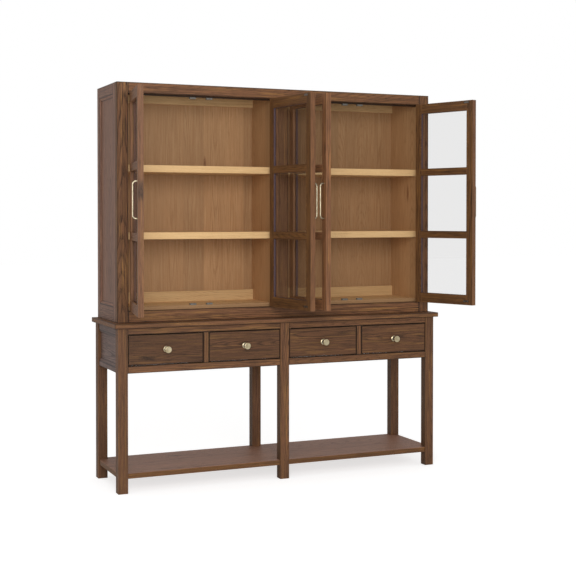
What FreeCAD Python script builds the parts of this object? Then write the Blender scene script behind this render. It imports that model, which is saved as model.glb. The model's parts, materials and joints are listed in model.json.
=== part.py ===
import FreeCAD, Part

import os
import re
from collections import namedtuple

import Sketcher

# A free-standing dresser in two parts.  The base has six square legs, four drawers in an apron under
# the countertop, and an open shelf near the floor.  The hutch stands on the countertop: two bays, two
# fixed shelves in each, closed by four tall glazed doors that turn on offset knife hinges.
#
# Millimetres.  The origin is the centre of the underside of the front centre leg.
# +X is to the right of someone who faces the front, +Y runs to the back and +Z is up.

SIZES = {
    # The whole dresser.
    "cabinet_width": 1937,  # over the end legs
    "cabinet_depth": 480,  # over the front and back legs
    "counter_height": 914,
    "overall_height": 2210,
    # Legs and countertop.
    "leg_side": 54,
    "leg_ease": 2,
    "counter_thickness": 26,
    "counter_end_overhang": 22,
    "counter_front_overhang": 18,
    "counter_ease": 3,
    # The open shelf near the floor.
    "low_shelf_bottom": 79,
    "low_shelf_thickness": 29,
    "low_shelf_inset": 6,
    "shelf_ease": 2,
    # Apron round the drawers.
    "apron_bottom": 645,
    "apron_bottom_rail": 39,
    "apron_top_rail": 35,
    "rail_thickness": 28,
    "rail_setback": 3,
    "divider_width": 30,
    "back_board_thickness": 18,
    "back_board_inset": 6,
    # Framed sides, the same make on the base and on the hutch.
    "side_setback": 6,
    "side_thickness": 22,
    "base_side_top_rail": 40,
    "base_side_bottom_rail": 27,
    "hutch_side_top_rail": 60,
    "hutch_side_bottom_rail": 82,
    "hutch_side_stile": 45,
    "panel_setback": 12,
    "panel_thickness": 6,
    "groove_depth": 8,
    "bead_height": 18,
    # Drawers and what they run on.
    "drawer_gap": 3.5,
    "drawer_front_thickness": 20,
    "drawer_ease": 1.5,
    "drawer_side_height": 150,
    "drawer_side_thickness": 12,
    "drawer_bottom_thickness": 6,
    "drawer_bottom_rise": 10,
    "drawer_groove_depth": 6,
    "drawer_back_clearance": 15,
    "runner_thickness": 20,
    "runner_bearing": 24,
    "guide_height": 15,
    "kicker_gap": 2,
    "seat_gap": 0.3,
    # Drawer knob.
    "knob_radius": 19,
    "knob_projection": 44,
    "knob_head_thickness": 9,
    "knob_rim": 1.5,
    "knob_undercut": 5,
    "knob_neck_radius": 7,
    "knob_foot_radius": 16.5,
    "knob_foot_thickness": 4,
    "knob_foot_height": 9,
    # Hutch carcase and face frame.
    "hutch_width": 1919,
    "hutch_depth": 412,
    "hutch_setback": 50,  # behind the front faces of the legs
    "face_thickness": 34,
    "face_end_stile": 63,
    "face_centre_stile": 83,
    "face_bottom_rail": 62,
    "face_top_rail": 56,
    "hutch_top_thickness": 33,
    "floor_lip": 20,
    "lining_thickness": 20,
    "interior_depth": 352,
    "back_thickness": 8,
    "cleat_thickness": 20,
    "lower_cleat_height": 59,
    "upper_cleat_height": 46,
    "stop_height": 31,
    "stop_thickness": 20,
    "shelf_thickness": 38,
    "shelf_setback": 38,
    # Glazed doors.
    "door_thickness": 30,
    "door_stile": 45,
    "door_rail": 57,
    "muntin_height": 42,
    "door_gap": 2,
    "door_hinge_gap": 2.5,
    "door_meeting_gap": 3,
    "door_ease": 1,
    "rebate_width": 10,
    "glass_setback": 14,
    "glass_thickness": 4,
    "glass_clearance": 0.5,
    "door_1_open": 100.5,
    "door_2_open": 98.5,
    "door_3_open": 86,
    "door_4_open": 110,
    # Offset knife hinges.
    "pivot_reach": 5,  # in front of the face frame
    "leaf_length": 30,
    "leaf_width": 10,
    "leaf_setback": 6,
    "leaf_arm": 8,
    "leaf_thickness": 2.5,
    "boss_radius": 4.5,
    "pin_radius": 2.5,
    "pin_clearance": 0.05,
    # Bar pulls, catches and strike plates.
    "pull_length": 198,
    "pull_projection": 28,
    "pull_bar_radius": 4.5,
    "pull_bend": 17,
    "pull_inset": 21,
    "pull_rise": 593,
    "catch_width": 35,
    "catch_height": 10,
    "catch_depth": 20,
    "catch_offset": 48,
    "catch_gap": 0.5,
    "strike_thickness": 1.5,
}

# Places and sizes that follow from the ones above.
PLACES = {
    "leg_height": "counter_height - counter_thickness",
    "half_leg": "leg_side / 2",
    "front_y": "-half_leg",
    "back_y": "cabinet_depth - half_leg",
    "bay_end": "cabinet_width / 2 - leg_side",
    "bay_width": "bay_end - half_leg",
    "legs_apart": "cabinet_depth - 2 * leg_side",
    "rail_y": "front_y + rail_setback",
    "rail_back_y": "rail_y + rail_thickness",
    "back_board_y": "back_y - back_board_inset - back_board_thickness",
    "drawer_sill": "apron_bottom + apron_bottom_rail",
    "drawer_opening_height": "leg_height - apron_top_rail - drawer_sill",
    "drawer_opening_width": "(bay_width - divider_width) / 2",
    "divider_x": "half_leg + drawer_opening_width",
    "drawer_width": "drawer_opening_width - 2 * drawer_gap",
    "drawer_height": "drawer_opening_height - 2 * drawer_gap",
    "drawer_length": "back_board_y - rail_y - drawer_back_clearance",
    "drawer_foot": "drawer_sill + drawer_gap",
    "runner_top": "drawer_foot - seat_gap",
    "kicker_bottom": "drawer_foot + drawer_side_height + kicker_gap",
    "hutch_face_y": "front_y + hutch_setback",
    "hutch_height": "overall_height - counter_height",
    "half_hutch": "hutch_width / 2",
    "opening_end": "half_hutch - face_end_stile",
    "opening_start": "face_centre_stile / 2",
    "opening_height": "hutch_height - face_bottom_rail - face_top_rail",
    "bay_centre": "(opening_end + opening_start) / 2",
    "floor_top": "face_bottom_rail + floor_lip",
    "ceiling": "hutch_height - hutch_top_thickness",
    "lining_depth": "interior_depth - face_thickness",
    "bay_opening": "opening_end - opening_start",
    "door_width": "(bay_opening - 2 * door_hinge_gap - door_meeting_gap) / 2",
    "door_height": "opening_height - 2 * door_gap",
    "door_foot": "face_bottom_rail + door_gap",
    "pane_width": "door_width - 2 * door_stile",
    "pane_height": "(door_height - 2 * door_rail - 2 * muntin_height) / 3",
    "pane_pitch": "pane_height + muntin_height",
    "door_edge_x": "door_hinge_gap / 2",
    "door_free_x": "door_edge_x + door_width",
    "door_outer_y": "pivot_reach",
    "door_inner_y": "pivot_reach + door_thickness",
    "pivot_end_x": "opening_end - door_edge_x",
    "pivot_centre_x": "opening_start + door_edge_x",
    "washer_height": "door_gap - seat_gap",
    "pin_height": "door_gap + leaf_thickness",
    "pull_x": "door_free_x - pull_inset",
    "pull_half": "pull_length / 2 - pull_bar_radius",
    "pull_reach": "pull_projection - pull_bar_radius",
    "knob_head_back": "knob_projection - knob_head_thickness",
}

LEFT, RIGHT = -1, 1
SIDES = (("left", LEFT), ("right", RIGHT))

# A frame is where a group of pieces is measured from: its place, and its turn about the vertical.
Frame = namedtuple("Frame", "x y z turn")
BASE = Frame("0", "0", "0", "0")
HUTCH = Frame("0", "hutch_face_y", "counter_height", "0")

# A station is a line of drawer sides: its middle, the guide between the sides, and where sides run.
Station = namedtuple("Station", "middle_x guide_width sides")
CENTRE = Station("0", "leg_side", [LEFT, RIGHT])

# The pivot lines of the four doors from left to right, and the way that each closed door runs from it.
PIVOTS = [
    ("-pivot_end_x", RIGHT),
    ("-pivot_centre_x", LEFT),
    ("pivot_centre_x", RIGHT),
    ("pivot_end_x", LEFT),
]

# Edges of a block, by the axis that they run along or the face that they bound.
ALONG_Z = ["Edge1", "Edge3", "Edge5", "Edge7"]
FRONT_FACE = ["Edge1", "Edge5", "Edge9", "Edge10"]
FRONT_LONG = ["Edge9", "Edge10"]
FRONT_AND_ENDS = ["Edge2", "Edge4", "Edge6", "Edge8", "Edge9", "Edge10"]

DOC = FreeCAD.newDocument("DresserWithHutch")


# Sheets and bindings

def fill_sheet(name, cells):
    """Put each size in a row of its own, under an alias."""
    sheet = DOC.addObject("Spreadsheet::Sheet", name)
    for row, (alias, content) in enumerate(cells.items(), start=1):
        sheet.set(f"A{row}", alias)
        sheet.set(f"B{row}", content)
        sheet.setAlias(f"B{row}", alias)
    return sheet


def spell(formula):
    """Lead each alias in a formula with the name of the sheet that holds it."""
    def with_sheet(match):
        word = match.group(0)
        if word in SIZES:
            return "Sizes." + word
        return "Places." + word if word in PLACES else word

    return re.sub(r"[a-z][a-z_0-9]*", with_sheet, formula)


def value(formula):
    """What a formula comes to now."""
    return float(PLACES_SHEET.evalExpression(spell(formula)))


def bind(thing, **formulas):
    """Tie properties to formulas; a double underscore in a key stands for a dot."""
    for key, formula in formulas.items():
        thing.setExpression(key.replace("__", "."), spell(formula))


def mirrored(side, start, length):
    """Where a span begins: measured out from the middle on the right, and its mirror image on the left."""
    return start if side == RIGHT else f"-({start}) - ({length})"


# Makers of solids

def new_body(name, frame):
    """An empty body in a frame."""
    body = DOC.addObject("PartDesign::Body", name)
    body.Label = name
    body.Placement = FreeCAD.Placement(FreeCAD.Vector(), FreeCAD.Rotation(FreeCAD.Vector(0, 0, 1), 1))
    bind(body, Placement__Base__x=frame.x, Placement__Base__y=frame.y, Placement__Base__z=frame.z,
         Placement__Rotation__Angle=frame.turn)
    return body


def block(body, kind, start, span):
    """Add or cut a rectangular block; kind is Additive or Subtractive."""
    box = body.newObject(f"PartDesign::{kind}Box", f"{body.Name}_{kind.lower()}")
    bind(box, Placement__Base__x=start[0], Placement__Base__y=start[1], Placement__Base__z=start[2],
         Length=span[0], Width=span[1], Height=span[2])
    return box


def peg(body, kind, place, radius, height):
    """Add or cut an upright cylinder."""
    cylinder = body.newObject(f"PartDesign::{kind}Cylinder", f"{body.Name}_{kind.lower()}")
    bind(cylinder, Placement__Base__x=place[0], Placement__Base__y=place[1], Placement__Base__z=place[2],
         Radius=radius, Height=height)
    return cylinder


def board(name, frame, start, span, edges=(), ease="door_ease"):
    """A board from one corner, with the named edges bevelled."""
    body = new_body(name, frame)
    blank = block(body, "Additive", start, span)
    if edges:
        bevel = body.newObject("PartDesign::Chamfer", f"{name}_ease")
        bevel.Base = (blank, list(edges))
        bind(bevel, Size=ease)
    return body


def group(name, bodies):
    """Pieces of one kind under one name."""
    compound = DOC.addObject("Part::Compound", name)
    compound.Links = bodies
    compound.Label = name
    return compound


def origin_plane(body, role):
    """One of a body's own origin planes."""
    return next(plane for plane in body.Origin.OriginFeatures if plane.Role == role)


def new_sketch(body, name, role, offset="0"):
    """A sketch on an origin plane, moved along that plane's normal by the offset."""
    sketch = body.newObject("Sketcher::SketchObject", name)
    sketch.AttachmentSupport = (origin_plane(body, role), [""])
    sketch.MapMode = "FlatFace"
    bind(sketch, AttachmentOffset__Base__z=offset)
    return sketch


def hold(sketch, constraint, formula):
    """Add a dimension and tie it to a formula."""
    index = sketch.addConstraint(constraint)
    sketch.setExpression(f"Constraints[{index}]", spell(formula))


def hold_point(sketch, edge, end, spot):
    """Dimension one end of an edge from the sketch's origin."""
    for kind, formula in zip(("DistanceX", "DistanceY"), spot):
        hold(sketch, Sketcher.Constraint(kind, -1, 1, edge, end, value(formula)), formula)


def outline(sketch, spots):
    """A closed outline with its corners at the spots."""
    corners = [FreeCAD.Vector(value(x), value(y), 0) for x, y in spots]
    for start, end in zip(corners, corners[1:] + corners[:1]):
        sketch.addGeometry(Part.LineSegment(start, end))
    last = len(spots) - 1
    for edge, spot in enumerate(spots):
        before = edge - 1 if edge else last
        sketch.addConstraint(Sketcher.Constraint("Coincident", before, 2, edge, 1))
        hold_point(sketch, edge, 1, spot)


# The base

def legs():
    """Six square legs in two rows, with their long edges eased."""
    columns = {"left": "-cabinet_width / 2", "centre": "-half_leg", "right": "bay_end"}
    rows = {"front": "front_y", "back": "back_y - leg_side"}
    return [
        board(f"leg_{row}_{column}", BASE, (x, y, "0"), ("leg_side", "leg_side", "leg_height"),
              ALONG_Z, "leg_ease")
        for row, y in rows.items()
        for column, x in columns.items()
    ]


def countertop():
    """One slab over the legs, flush with them at the back."""
    body = new_body("countertop", BASE)
    length = "cabinet_width + 2 * counter_end_overhang"
    slab = block(body, "Additive",
                 (f"-({length}) / 2", "front_y - counter_front_overhang", "leg_height"),
                 (length, "cabinet_depth + counter_front_overhang", "counter_thickness"))
    rounding = body.newObject("PartDesign::Fillet", "countertop_ease")
    rounding.Base = (slab, FRONT_AND_ENDS)
    bind(rounding, Radius="counter_ease")
    return body


def low_shelf():
    """The open shelf, notched round all six legs."""
    length = "cabinet_width - 2 * low_shelf_inset"
    body = board("low_shelf", BASE,
                 (f"-({length}) / 2", "front_y + low_shelf_inset", "low_shelf_bottom"),
                 (length, "cabinet_depth - 2 * low_shelf_inset", "low_shelf_thickness"),
                 FRONT_AND_ENDS, "shelf_ease")
    for x in ("-cabinet_width / 2", "-half_leg", "bay_end"):
        for y in ("front_y", "back_y - leg_side"):
            block(body, "Subtractive", (x, y, "low_shelf_bottom"),
                  ("leg_side", "leg_side", "low_shelf_thickness"))
    return body


def apron_rails():
    """A rail under and a rail over the drawers of each bay, between the legs."""
    levels = (("bottom", "apron_bottom", "apron_bottom_rail"),
              ("top", "leg_height - apron_top_rail", "apron_top_rail"))
    return group("apron_rails", [
        board(f"apron_{level}_rail_{word}", BASE,
              (mirrored(side, "half_leg", "bay_width"), "rail_y", foot_z),
              ("bay_width", "rail_thickness", height), FRONT_LONG)
        for level, foot_z, height in levels
        for word, side in SIDES
    ])


def drawer_dividers():
    """The short uprights between the two drawers of a bay."""
    return group("drawer_dividers", [
        board(f"drawer_divider_{word}", BASE,
              (mirrored(side, "divider_x", "divider_width"), "rail_y", "drawer_sill"),
              ("divider_width", "rail_thickness", "drawer_opening_height"), ["Edge1", "Edge5"])
        for word, side in SIDES
    ])


def base_back_boards():
    """The boards that close the apron behind the drawers."""
    return group("base_back_boards", [
        board(f"base_back_board_{word}", BASE,
              (mirrored(side, "half_leg", "bay_width"), "back_board_y", "apron_bottom"),
              ("bay_width", "back_board_thickness", "leg_height - apron_bottom"))
        for word, side in SIDES
    ])


def moulding(name, frame, side, face_x, edge_z, tip_z, start_y, length):
    """A bevelled moulding between a side rail's edge and its recessed panel, where it dies away at tip_z."""
    body = new_body(name, frame)
    sketch = new_sketch(body, f"{name}_section", "XZ_Plane", f"-({start_y}) - ({length})")
    root_x = f"({face_x} - panel_setback)"
    reach = f"{side} * {face_x}"
    outline(sketch, [(f"{side} * {root_x}", edge_z), (reach, edge_z), (f"{side} * {root_x}", tip_z)])
    pad = body.newObject("PartDesign::Pad", f"{name}_pad")
    pad.Profile = sketch
    bind(pad, Length=length)
    return body


def side_rail(name, frame, side, face_x, run, foot_z, height, groove_z):
    """A side rail with a groove along one edge for the panel; run is its start and length along Y."""
    inner_x = f"({face_x} - side_thickness)"
    body = board(name, frame, (mirrored(side, inner_x, "side_thickness"), run[0], foot_z),
                 ("side_thickness", run[1], height))
    groove_x = f"({face_x} - panel_setback - panel_thickness)"
    block(body, "Subtractive", (mirrored(side, groove_x, "panel_thickness"), run[0], groove_z),
          ("panel_thickness", run[1], "groove_depth"))
    return body


def side_panel(name, frame, side, face_x, run, foot_z, height):
    """The thin panel that stands in the grooves of a framed side."""
    panel_x = f"({face_x} - panel_setback - panel_thickness)"
    return board(name, frame, (mirrored(side, panel_x, "panel_thickness"), run[0], foot_z),
                 ("panel_thickness", run[1], height))


def base_side(word, side):
    """One end of the apron: two rails, a panel and two mouldings between the front and back legs."""
    name = f"base_side_{word}"
    face_x = "(cabinet_width / 2 - side_setback)"
    run = ("half_leg", "legs_apart")
    bottom_top = "(apron_bottom + base_side_bottom_rail)"
    top_foot = "(leg_height - base_side_top_rail)"
    lower_tip = f"{bottom_top} + bead_height"
    upper_tip = f"{top_foot} - bead_height"
    return group(name, [
        side_rail(f"{name}_bottom_rail", BASE, side, face_x, run, "apron_bottom",
                  "base_side_bottom_rail", f"{bottom_top} - groove_depth"),
        side_rail(f"{name}_top_rail", BASE, side, face_x, run, top_foot, "base_side_top_rail", top_foot),
        side_panel(f"{name}_panel", BASE, side, face_x, run, f"{bottom_top} - groove_depth",
                   f"{top_foot} - {bottom_top} + 2 * groove_depth"),
        moulding(f"{name}_lower_moulding", BASE, side, face_x, bottom_top, lower_tip, *run),
        moulding(f"{name}_upper_moulding", BASE, side, face_x, top_foot, upper_tip, *run),
    ])


def runner_strip(name, station, foot_z, height):
    """A strip from the front rails to the back board, under or over the drawer sides at one station.

    The centre one is notched round the front and back legs.
    """
    left_x = f"{station.middle_x} - {station.guide_width} / 2"
    if LEFT in station.sides:
        left_x += " - runner_bearing"
    width = f"{station.guide_width} + {len(station.sides)} * runner_bearing"
    body = board(name, BASE, (left_x, "rail_back_y", foot_z), (width, "back_board_y - rail_back_y", height))
    if station == CENTRE:
        for leg_y in ("front_y", "back_y - leg_side"):
            block(body, "Subtractive", ("-half_leg", leg_y, foot_z), ("leg_side", "leg_side", height))
    return body


def drawer_runners():
    """At each station a runner under the drawer sides, with its guide, and a kicker over them."""
    divider_x = "(divider_x + divider_width / 2)"
    stations = {
        "left_end": Station("-bay_end", "0", [RIGHT]),
        "left": Station(f"-{divider_x}", "divider_width", [LEFT, RIGHT]),
        "centre": CENTRE,
        "right": Station(divider_x, "divider_width", [LEFT, RIGHT]),
        "right_end": Station("bay_end", "0", [LEFT]),
    }
    pieces = []
    for word, station in stations.items():
        runner = runner_strip(f"drawer_runner_{word}", station, "runner_top - runner_thickness",
                              "runner_thickness")
        if len(station.sides) == 2:
            block(runner, "Additive",
                  (f"{station.middle_x} - {station.guide_width} / 2", "half_leg", "runner_top"),
                  (station.guide_width, "legs_apart", "guide_height"))
        kicker = runner_strip(f"drawer_kicker_{word}", station, "kicker_bottom", "leg_height - kicker_bottom")
        pieces += [runner, kicker]
    return group("drawer_runners", pieces)


# Drawers

def drawer_front(name, frame):
    """An inset front, rebated at both ends for the sides and grooved for the bottom."""
    body = board(f"{name}_front", frame, ("-drawer_width / 2", "0", "0"),
                 ("drawer_width", "drawer_front_thickness", "drawer_height"), FRONT_FACE, "drawer_ease")
    side_x = "drawer_width / 2 - drawer_side_thickness"
    lap_y = "drawer_front_thickness - drawer_side_thickness"
    for side in (LEFT, RIGHT):
        block(body, "Subtractive", (mirrored(side, side_x, "drawer_side_thickness"), lap_y, "0"),
              ("drawer_side_thickness", "drawer_side_thickness", "drawer_side_height"))
    block(body, "Subtractive",
          ("drawer_side_thickness - drawer_width / 2", "drawer_front_thickness - drawer_groove_depth",
           "drawer_bottom_rise"),
          ("drawer_width - 2 * drawer_side_thickness", "drawer_groove_depth", "drawer_bottom_thickness"))
    return body


def drawer_box(name, frame):
    """Two grooved sides, a back that stands on the bottom, and the bottom in its grooves."""
    node = f"{name}_box"
    lap_y = "drawer_front_thickness - drawer_side_thickness"
    side_x = "drawer_width / 2 - drawer_side_thickness"
    side_length = f"drawer_length - ({lap_y})"
    pieces = []
    for word, side in SIDES:
        cheek = board(f"{node}_{word}", frame, (mirrored(side, side_x, "drawer_side_thickness"), lap_y, "0"),
                      ("drawer_side_thickness", side_length, "drawer_side_height"))
        block(cheek, "Subtractive",
              (mirrored(side, side_x, "drawer_groove_depth"), lap_y, "drawer_bottom_rise"),
              ("drawer_groove_depth", side_length, "drawer_bottom_thickness"))
        pieces.append(cheek)
    inner_width = "drawer_width - 2 * drawer_side_thickness"
    back_foot = "(drawer_bottom_rise + drawer_bottom_thickness)"
    pieces.append(board(f"{node}_back", frame,
                        (f"-({inner_width}) / 2", "drawer_length - drawer_side_thickness", back_foot),
                        (inner_width, "drawer_side_thickness", f"drawer_side_height - {back_foot}")))
    bottom = new_body(f"{node}_bottom", frame)
    bottom_start = "drawer_front_thickness - drawer_groove_depth"
    block(bottom, "Additive",
          (f"-({inner_width}) / 2", bottom_start, "drawer_bottom_rise"),
          (inner_width, "drawer_groove_depth", "drawer_bottom_thickness"))
    block(bottom, "Additive",
          (f"-({inner_width}) / 2 - drawer_groove_depth", "drawer_front_thickness", "drawer_bottom_rise"),
          (f"{inner_width} + 2 * drawer_groove_depth", "drawer_length - drawer_front_thickness",
           "drawer_bottom_thickness"))
    pieces.append(bottom)
    return group(node, pieces)


def drawer_knob(name, frame):
    """A turned knob: a broad round foot, a waist and a flat head with a bevelled rim."""
    middle = Frame(frame.x, frame.y, f"{frame.z} + drawer_height / 2", frame.turn)
    body = new_body(f"{name}_knob", middle)
    sketch = new_sketch(body, f"{name}_knob_profile", "XY_Plane")
    outline(sketch, [
        ("0", "0"),
        ("0", "-knob_projection"),
        ("knob_radius - knob_rim", "-knob_projection"),
        ("knob_radius", "knob_rim - knob_projection"),
        ("knob_radius", "-knob_head_back"),
        ("knob_neck_radius", "knob_undercut - knob_head_back"),
        ("knob_neck_radius", "-knob_foot_height"),
        ("knob_foot_radius", "-knob_foot_thickness"),
        ("knob_foot_radius", "0"),
    ])
    turning = body.newObject("PartDesign::Revolution", f"{name}_knob_turning")
    turning.Profile = sketch
    turning.ReferenceAxis = (sketch, ["V_Axis"])
    turning.Angle = 360
    return body


def drawers():
    """Four drawers, each with a front, a box and a knob."""
    middles = ["-(bay_end - drawer_opening_width / 2)", "-(half_leg + drawer_opening_width / 2)",
               "half_leg + drawer_opening_width / 2", "bay_end - drawer_opening_width / 2"]
    pieces = []
    for number, middle_x in enumerate(middles, start=1):
        frame = Frame(middle_x, "rail_y", "drawer_foot", "0")
        name = f"drawer_{number}"
        pieces += [drawer_front(name, frame), drawer_box(name, frame), drawer_knob(name, frame)]
    return pieces


# The hutch

def face_stiles():
    """Three uprights of the face frame; the centre one stands between the rails."""
    height = "hutch_height"
    ends = [
        board(f"face_stile_{word}", HUTCH, (mirrored(side, "opening_end", "face_end_stile"), "0", "0"),
              ("face_end_stile", "face_thickness", height), ["Edge1", "Edge5"])
        for word, side in SIDES
    ]
    centre = board("face_stile_centre", HUTCH, ("-opening_start", "0", "face_bottom_rail"),
                   ("face_centre_stile", "face_thickness", "opening_height"), ["Edge1", "Edge5"])
    return group("face_stiles", ends + [centre])


def face_rail(name, foot_z, height, leaf_z):
    """A rail of the face frame, cut for the four fixed hinge leaves along its edge."""
    body = board(name, HUTCH, ("-opening_end", "0", foot_z), ("2 * opening_end", "face_thickness", height),
                 FRONT_LONG)
    for pivot_x, hand in PIVOTS:
        hinge_leaf(body, "Subtractive", pivot_x, "-pivot_reach", leaf_z, hand)
    return body


def face_rails():
    """The rails under and over the doors."""
    top_foot = "hutch_height - face_top_rail"
    return group("face_rails", [
        face_rail("face_bottom_rail_board", "0", "face_bottom_rail", "face_bottom_rail - leaf_thickness"),
        face_rail("face_top_rail_board", top_foot, "face_top_rail", top_foot),
    ])


def hutch_side(word, side):
    """A framed side behind the face frame: two stiles, two rails, a panel and two mouldings."""
    name = f"hutch_side_{word}"
    face_x = "half_hutch"
    run = ("face_thickness + hutch_side_stile", "hutch_depth - face_thickness - 2 * hutch_side_stile")
    top_foot = "(hutch_height - hutch_side_top_rail)"
    panel_foot = "hutch_side_bottom_rail - groove_depth"
    panel_height = f"{top_foot} - hutch_side_bottom_rail + 2 * groove_depth"
    groove_x = "(half_hutch - panel_setback - panel_thickness)"
    pieces = [
        side_rail(f"{name}_bottom_rail", HUTCH, side, face_x, run, "0", "hutch_side_bottom_rail", panel_foot),
        side_rail(f"{name}_top_rail", HUTCH, side, face_x, run, top_foot, "hutch_side_top_rail", top_foot),
        side_panel(f"{name}_panel", HUTCH, side, face_x,
                   (f"{run[0]} - groove_depth", f"{run[1]} + 2 * groove_depth"), panel_foot, panel_height),
        moulding(f"{name}_lower_moulding", HUTCH, side, face_x, "hutch_side_bottom_rail",
                 "hutch_side_bottom_rail + bead_height", *run),
        moulding(f"{name}_upper_moulding", HUTCH, side, face_x, top_foot, f"{top_foot} - bead_height", *run),
    ]
    stiles = (("front", "face_thickness", f"{run[0]} - groove_depth"),
              ("back", "hutch_depth - hutch_side_stile", "hutch_depth - hutch_side_stile"))
    for place, start_y, groove_y in stiles:
        stile = board(f"{name}_{place}_stile", HUTCH,
                      (mirrored(side, "half_hutch - side_thickness", "side_thickness"), start_y, "0"),
                      ("side_thickness", "hutch_side_stile", "hutch_height"))
        block(stile, "Subtractive", (mirrored(side, groove_x, "panel_thickness"), groove_y, panel_foot),
              ("panel_thickness", "groove_depth", panel_height))
        pieces.append(stile)
    return group(name, pieces)


def hutch_top():
    """The board between the framed sides that closes the top."""
    width = "(hutch_width - 2 * side_thickness)"
    return board("hutch_top", HUTCH, (f"-{width} / 2", "face_thickness", "ceiling"),
                 (width, "hutch_depth - face_thickness", "hutch_top_thickness"))


def hutch_back():
    """The thin back, let in between the framed sides."""
    width = "(hutch_width - 2 * side_thickness)"
    return board("hutch_back", HUTCH, (f"-{width} / 2", "interior_depth", "0"),
                 (width, "back_thickness", "ceiling"))


def linings():
    """The four upright linings that carry the shelves, flush with the edges of the face stiles."""
    return group("linings", [
        board(f"lining_{word}_{place}", HUTCH,
              (mirrored(side, start, "lining_thickness"), "face_thickness", "0"),
              ("lining_thickness", "lining_depth", "ceiling"))
        for word, side in SIDES
        for place, start in (("inner", "opening_start - lining_thickness"), ("outer", "opening_end"))
    ])


def between_linings(name, start_y, depth, foot_z, height, edges=()):
    """The same board in each bay, fitted between its linings."""
    return [
        board(f"{name}_{word}", HUTCH, (mirrored(side, "opening_start", "bay_opening"), start_y, foot_z),
              ("bay_opening", depth, height), edges)
        for word, side in SIDES
    ]


def interior():
    """Floors, shelves, wall cleats, and the stops that the doors close against above and below."""
    shelf_middle = "(door_foot + door_rail - muntin_height / 2 + {} * pane_pitch)"
    shelves = []
    for number in (1, 2):
        foot = shelf_middle.format(number) + " - shelf_thickness / 2"
        shelves += between_linings(f"hutch_shelf_{number}", "shelf_setback",
                                   "interior_depth - shelf_setback", foot, "shelf_thickness", FRONT_LONG)
    cleat_y = "interior_depth - cleat_thickness"
    return [
        group("hutch_floors", between_linings("hutch_floor", "face_thickness + stop_thickness",
                                              "lining_depth - stop_thickness", "face_bottom_rail",
                                              "floor_lip")),
        group("hutch_shelves", shelves),
        group("back_cleats",
              between_linings("lower_cleat", cleat_y, "cleat_thickness", "floor_top", "lower_cleat_height")
              + between_linings("upper_cleat", cleat_y, "cleat_thickness",
                                "ceiling - upper_cleat_height", "upper_cleat_height")),
        group("door_stops",
              between_linings("lower_door_stop", "face_thickness", "stop_thickness", "face_bottom_rail",
                              "floor_lip")
              + between_linings("upper_door_stop", "face_thickness", "stop_thickness",
                                "ceiling - stop_height", "stop_height")),
    ]


def door_catches():
    """Two catches over and two under each bay, one pair for each door."""
    catches = []
    levels = (("lower", "floor_top"), ("upper", "ceiling - stop_height - catch_height"))
    for word, side in SIDES:
        for place, offset in (("inner", "-catch_offset"), ("outer", "catch_offset")):
            for level, foot_z in levels:
                start = f"bay_centre + {offset} - catch_width / 2"
                catches.append(board(
                    f"catch_{word}_{place}_{level}", HUTCH,
                    (mirrored(side, start, "catch_width"), "door_thickness + strike_thickness + catch_gap",
                     foot_z),
                    ("catch_width", "catch_depth", "catch_height")))
    return group("door_catches", catches)


# Offset knife hinges.  Each door turns on two short pins just in front of its face, one over the bottom
# rail and one under the top rail.  The leaves are flat and bent in plan, so that each runs from the pin
# back into the wood and then along it.

def hinge_leaf(body, kind, pivot_x, pivot_y, foot_z, hand):
    """Add or cut the arm and the plate of a leaf; hand is the way that the closed door runs."""
    plate_y = "(pivot_reach + leaf_setback)"
    for start_y, length, width in (("0", "leaf_arm", plate_y), (plate_y, "leaf_length", "leaf_width")):
        block(body, kind,
              (f"({pivot_x}) + ({mirrored(hand, '0', length)})", f"{pivot_y} + {start_y}", foot_z),
              (length, width, "leaf_thickness"))


def hinge_plate(name, pivot_x, hand, level):
    """A fixed leaf let into a rail, with the washer that the door's leaf bears on and the pin."""
    body = new_body(name, HUTCH)
    if level == "lower":
        leaf_z = boss_z = "face_bottom_rail - leaf_thickness"
        pin_z = "face_bottom_rail"
    else:
        leaf_z = "hutch_height - face_top_rail"
        boss_z = f"{leaf_z} - washer_height"
        pin_z = f"{leaf_z} - pin_height"
    hinge_leaf(body, "Additive", pivot_x, "-pivot_reach", leaf_z, hand)
    peg(body, "Additive", (pivot_x, "-pivot_reach", boss_z), "boss_radius", "leaf_thickness + washer_height")
    peg(body, "Additive", (pivot_x, "-pivot_reach", pin_z), "pin_radius", "pin_height")
    return body


def hinge_plates():
    """The eight fixed halves of the hinges."""
    return group("hinge_plates", [
        hinge_plate(f"hinge_plate_{number}_{level}", pivot_x, hand, level)
        for number, (pivot_x, hand) in enumerate(PIVOTS, start=1)
        for level in ("lower", "upper")
    ])


# Doors.  Each is measured from its pivot line at the level of its foot, and turned about that line.

def pane_foot(row):
    """Height of the sight edge under one of the three panes."""
    return f"(door_rail + {row} * pane_pitch)"


def door_stile(name, frame, hand, start_x, hinged):
    """An upright of a door, rebated behind for each pane; the hinged one is cut for the leaves."""
    body = board(name, frame, (mirrored(hand, start_x, "door_stile"), "door_outer_y", "0"),
                 ("door_stile", "door_thickness", "door_height"), ["Edge1", "Edge5"])
    rebate_x = f"{start_x} + door_stile - rebate_width" if hinged else start_x
    for row in range(3):
        block(body, "Subtractive",
              (mirrored(hand, rebate_x, "rebate_width"), "door_outer_y + glass_setback",
               f"{pane_foot(row)} - rebate_width"),
              ("rebate_width", "door_thickness - glass_setback", "pane_height + 2 * rebate_width"))
    if hinged:
        for leaf_z in ("0", "door_height - leaf_thickness"):
            hinge_leaf(body, "Subtractive", "0", "0", leaf_z, hand)
    return body


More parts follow.
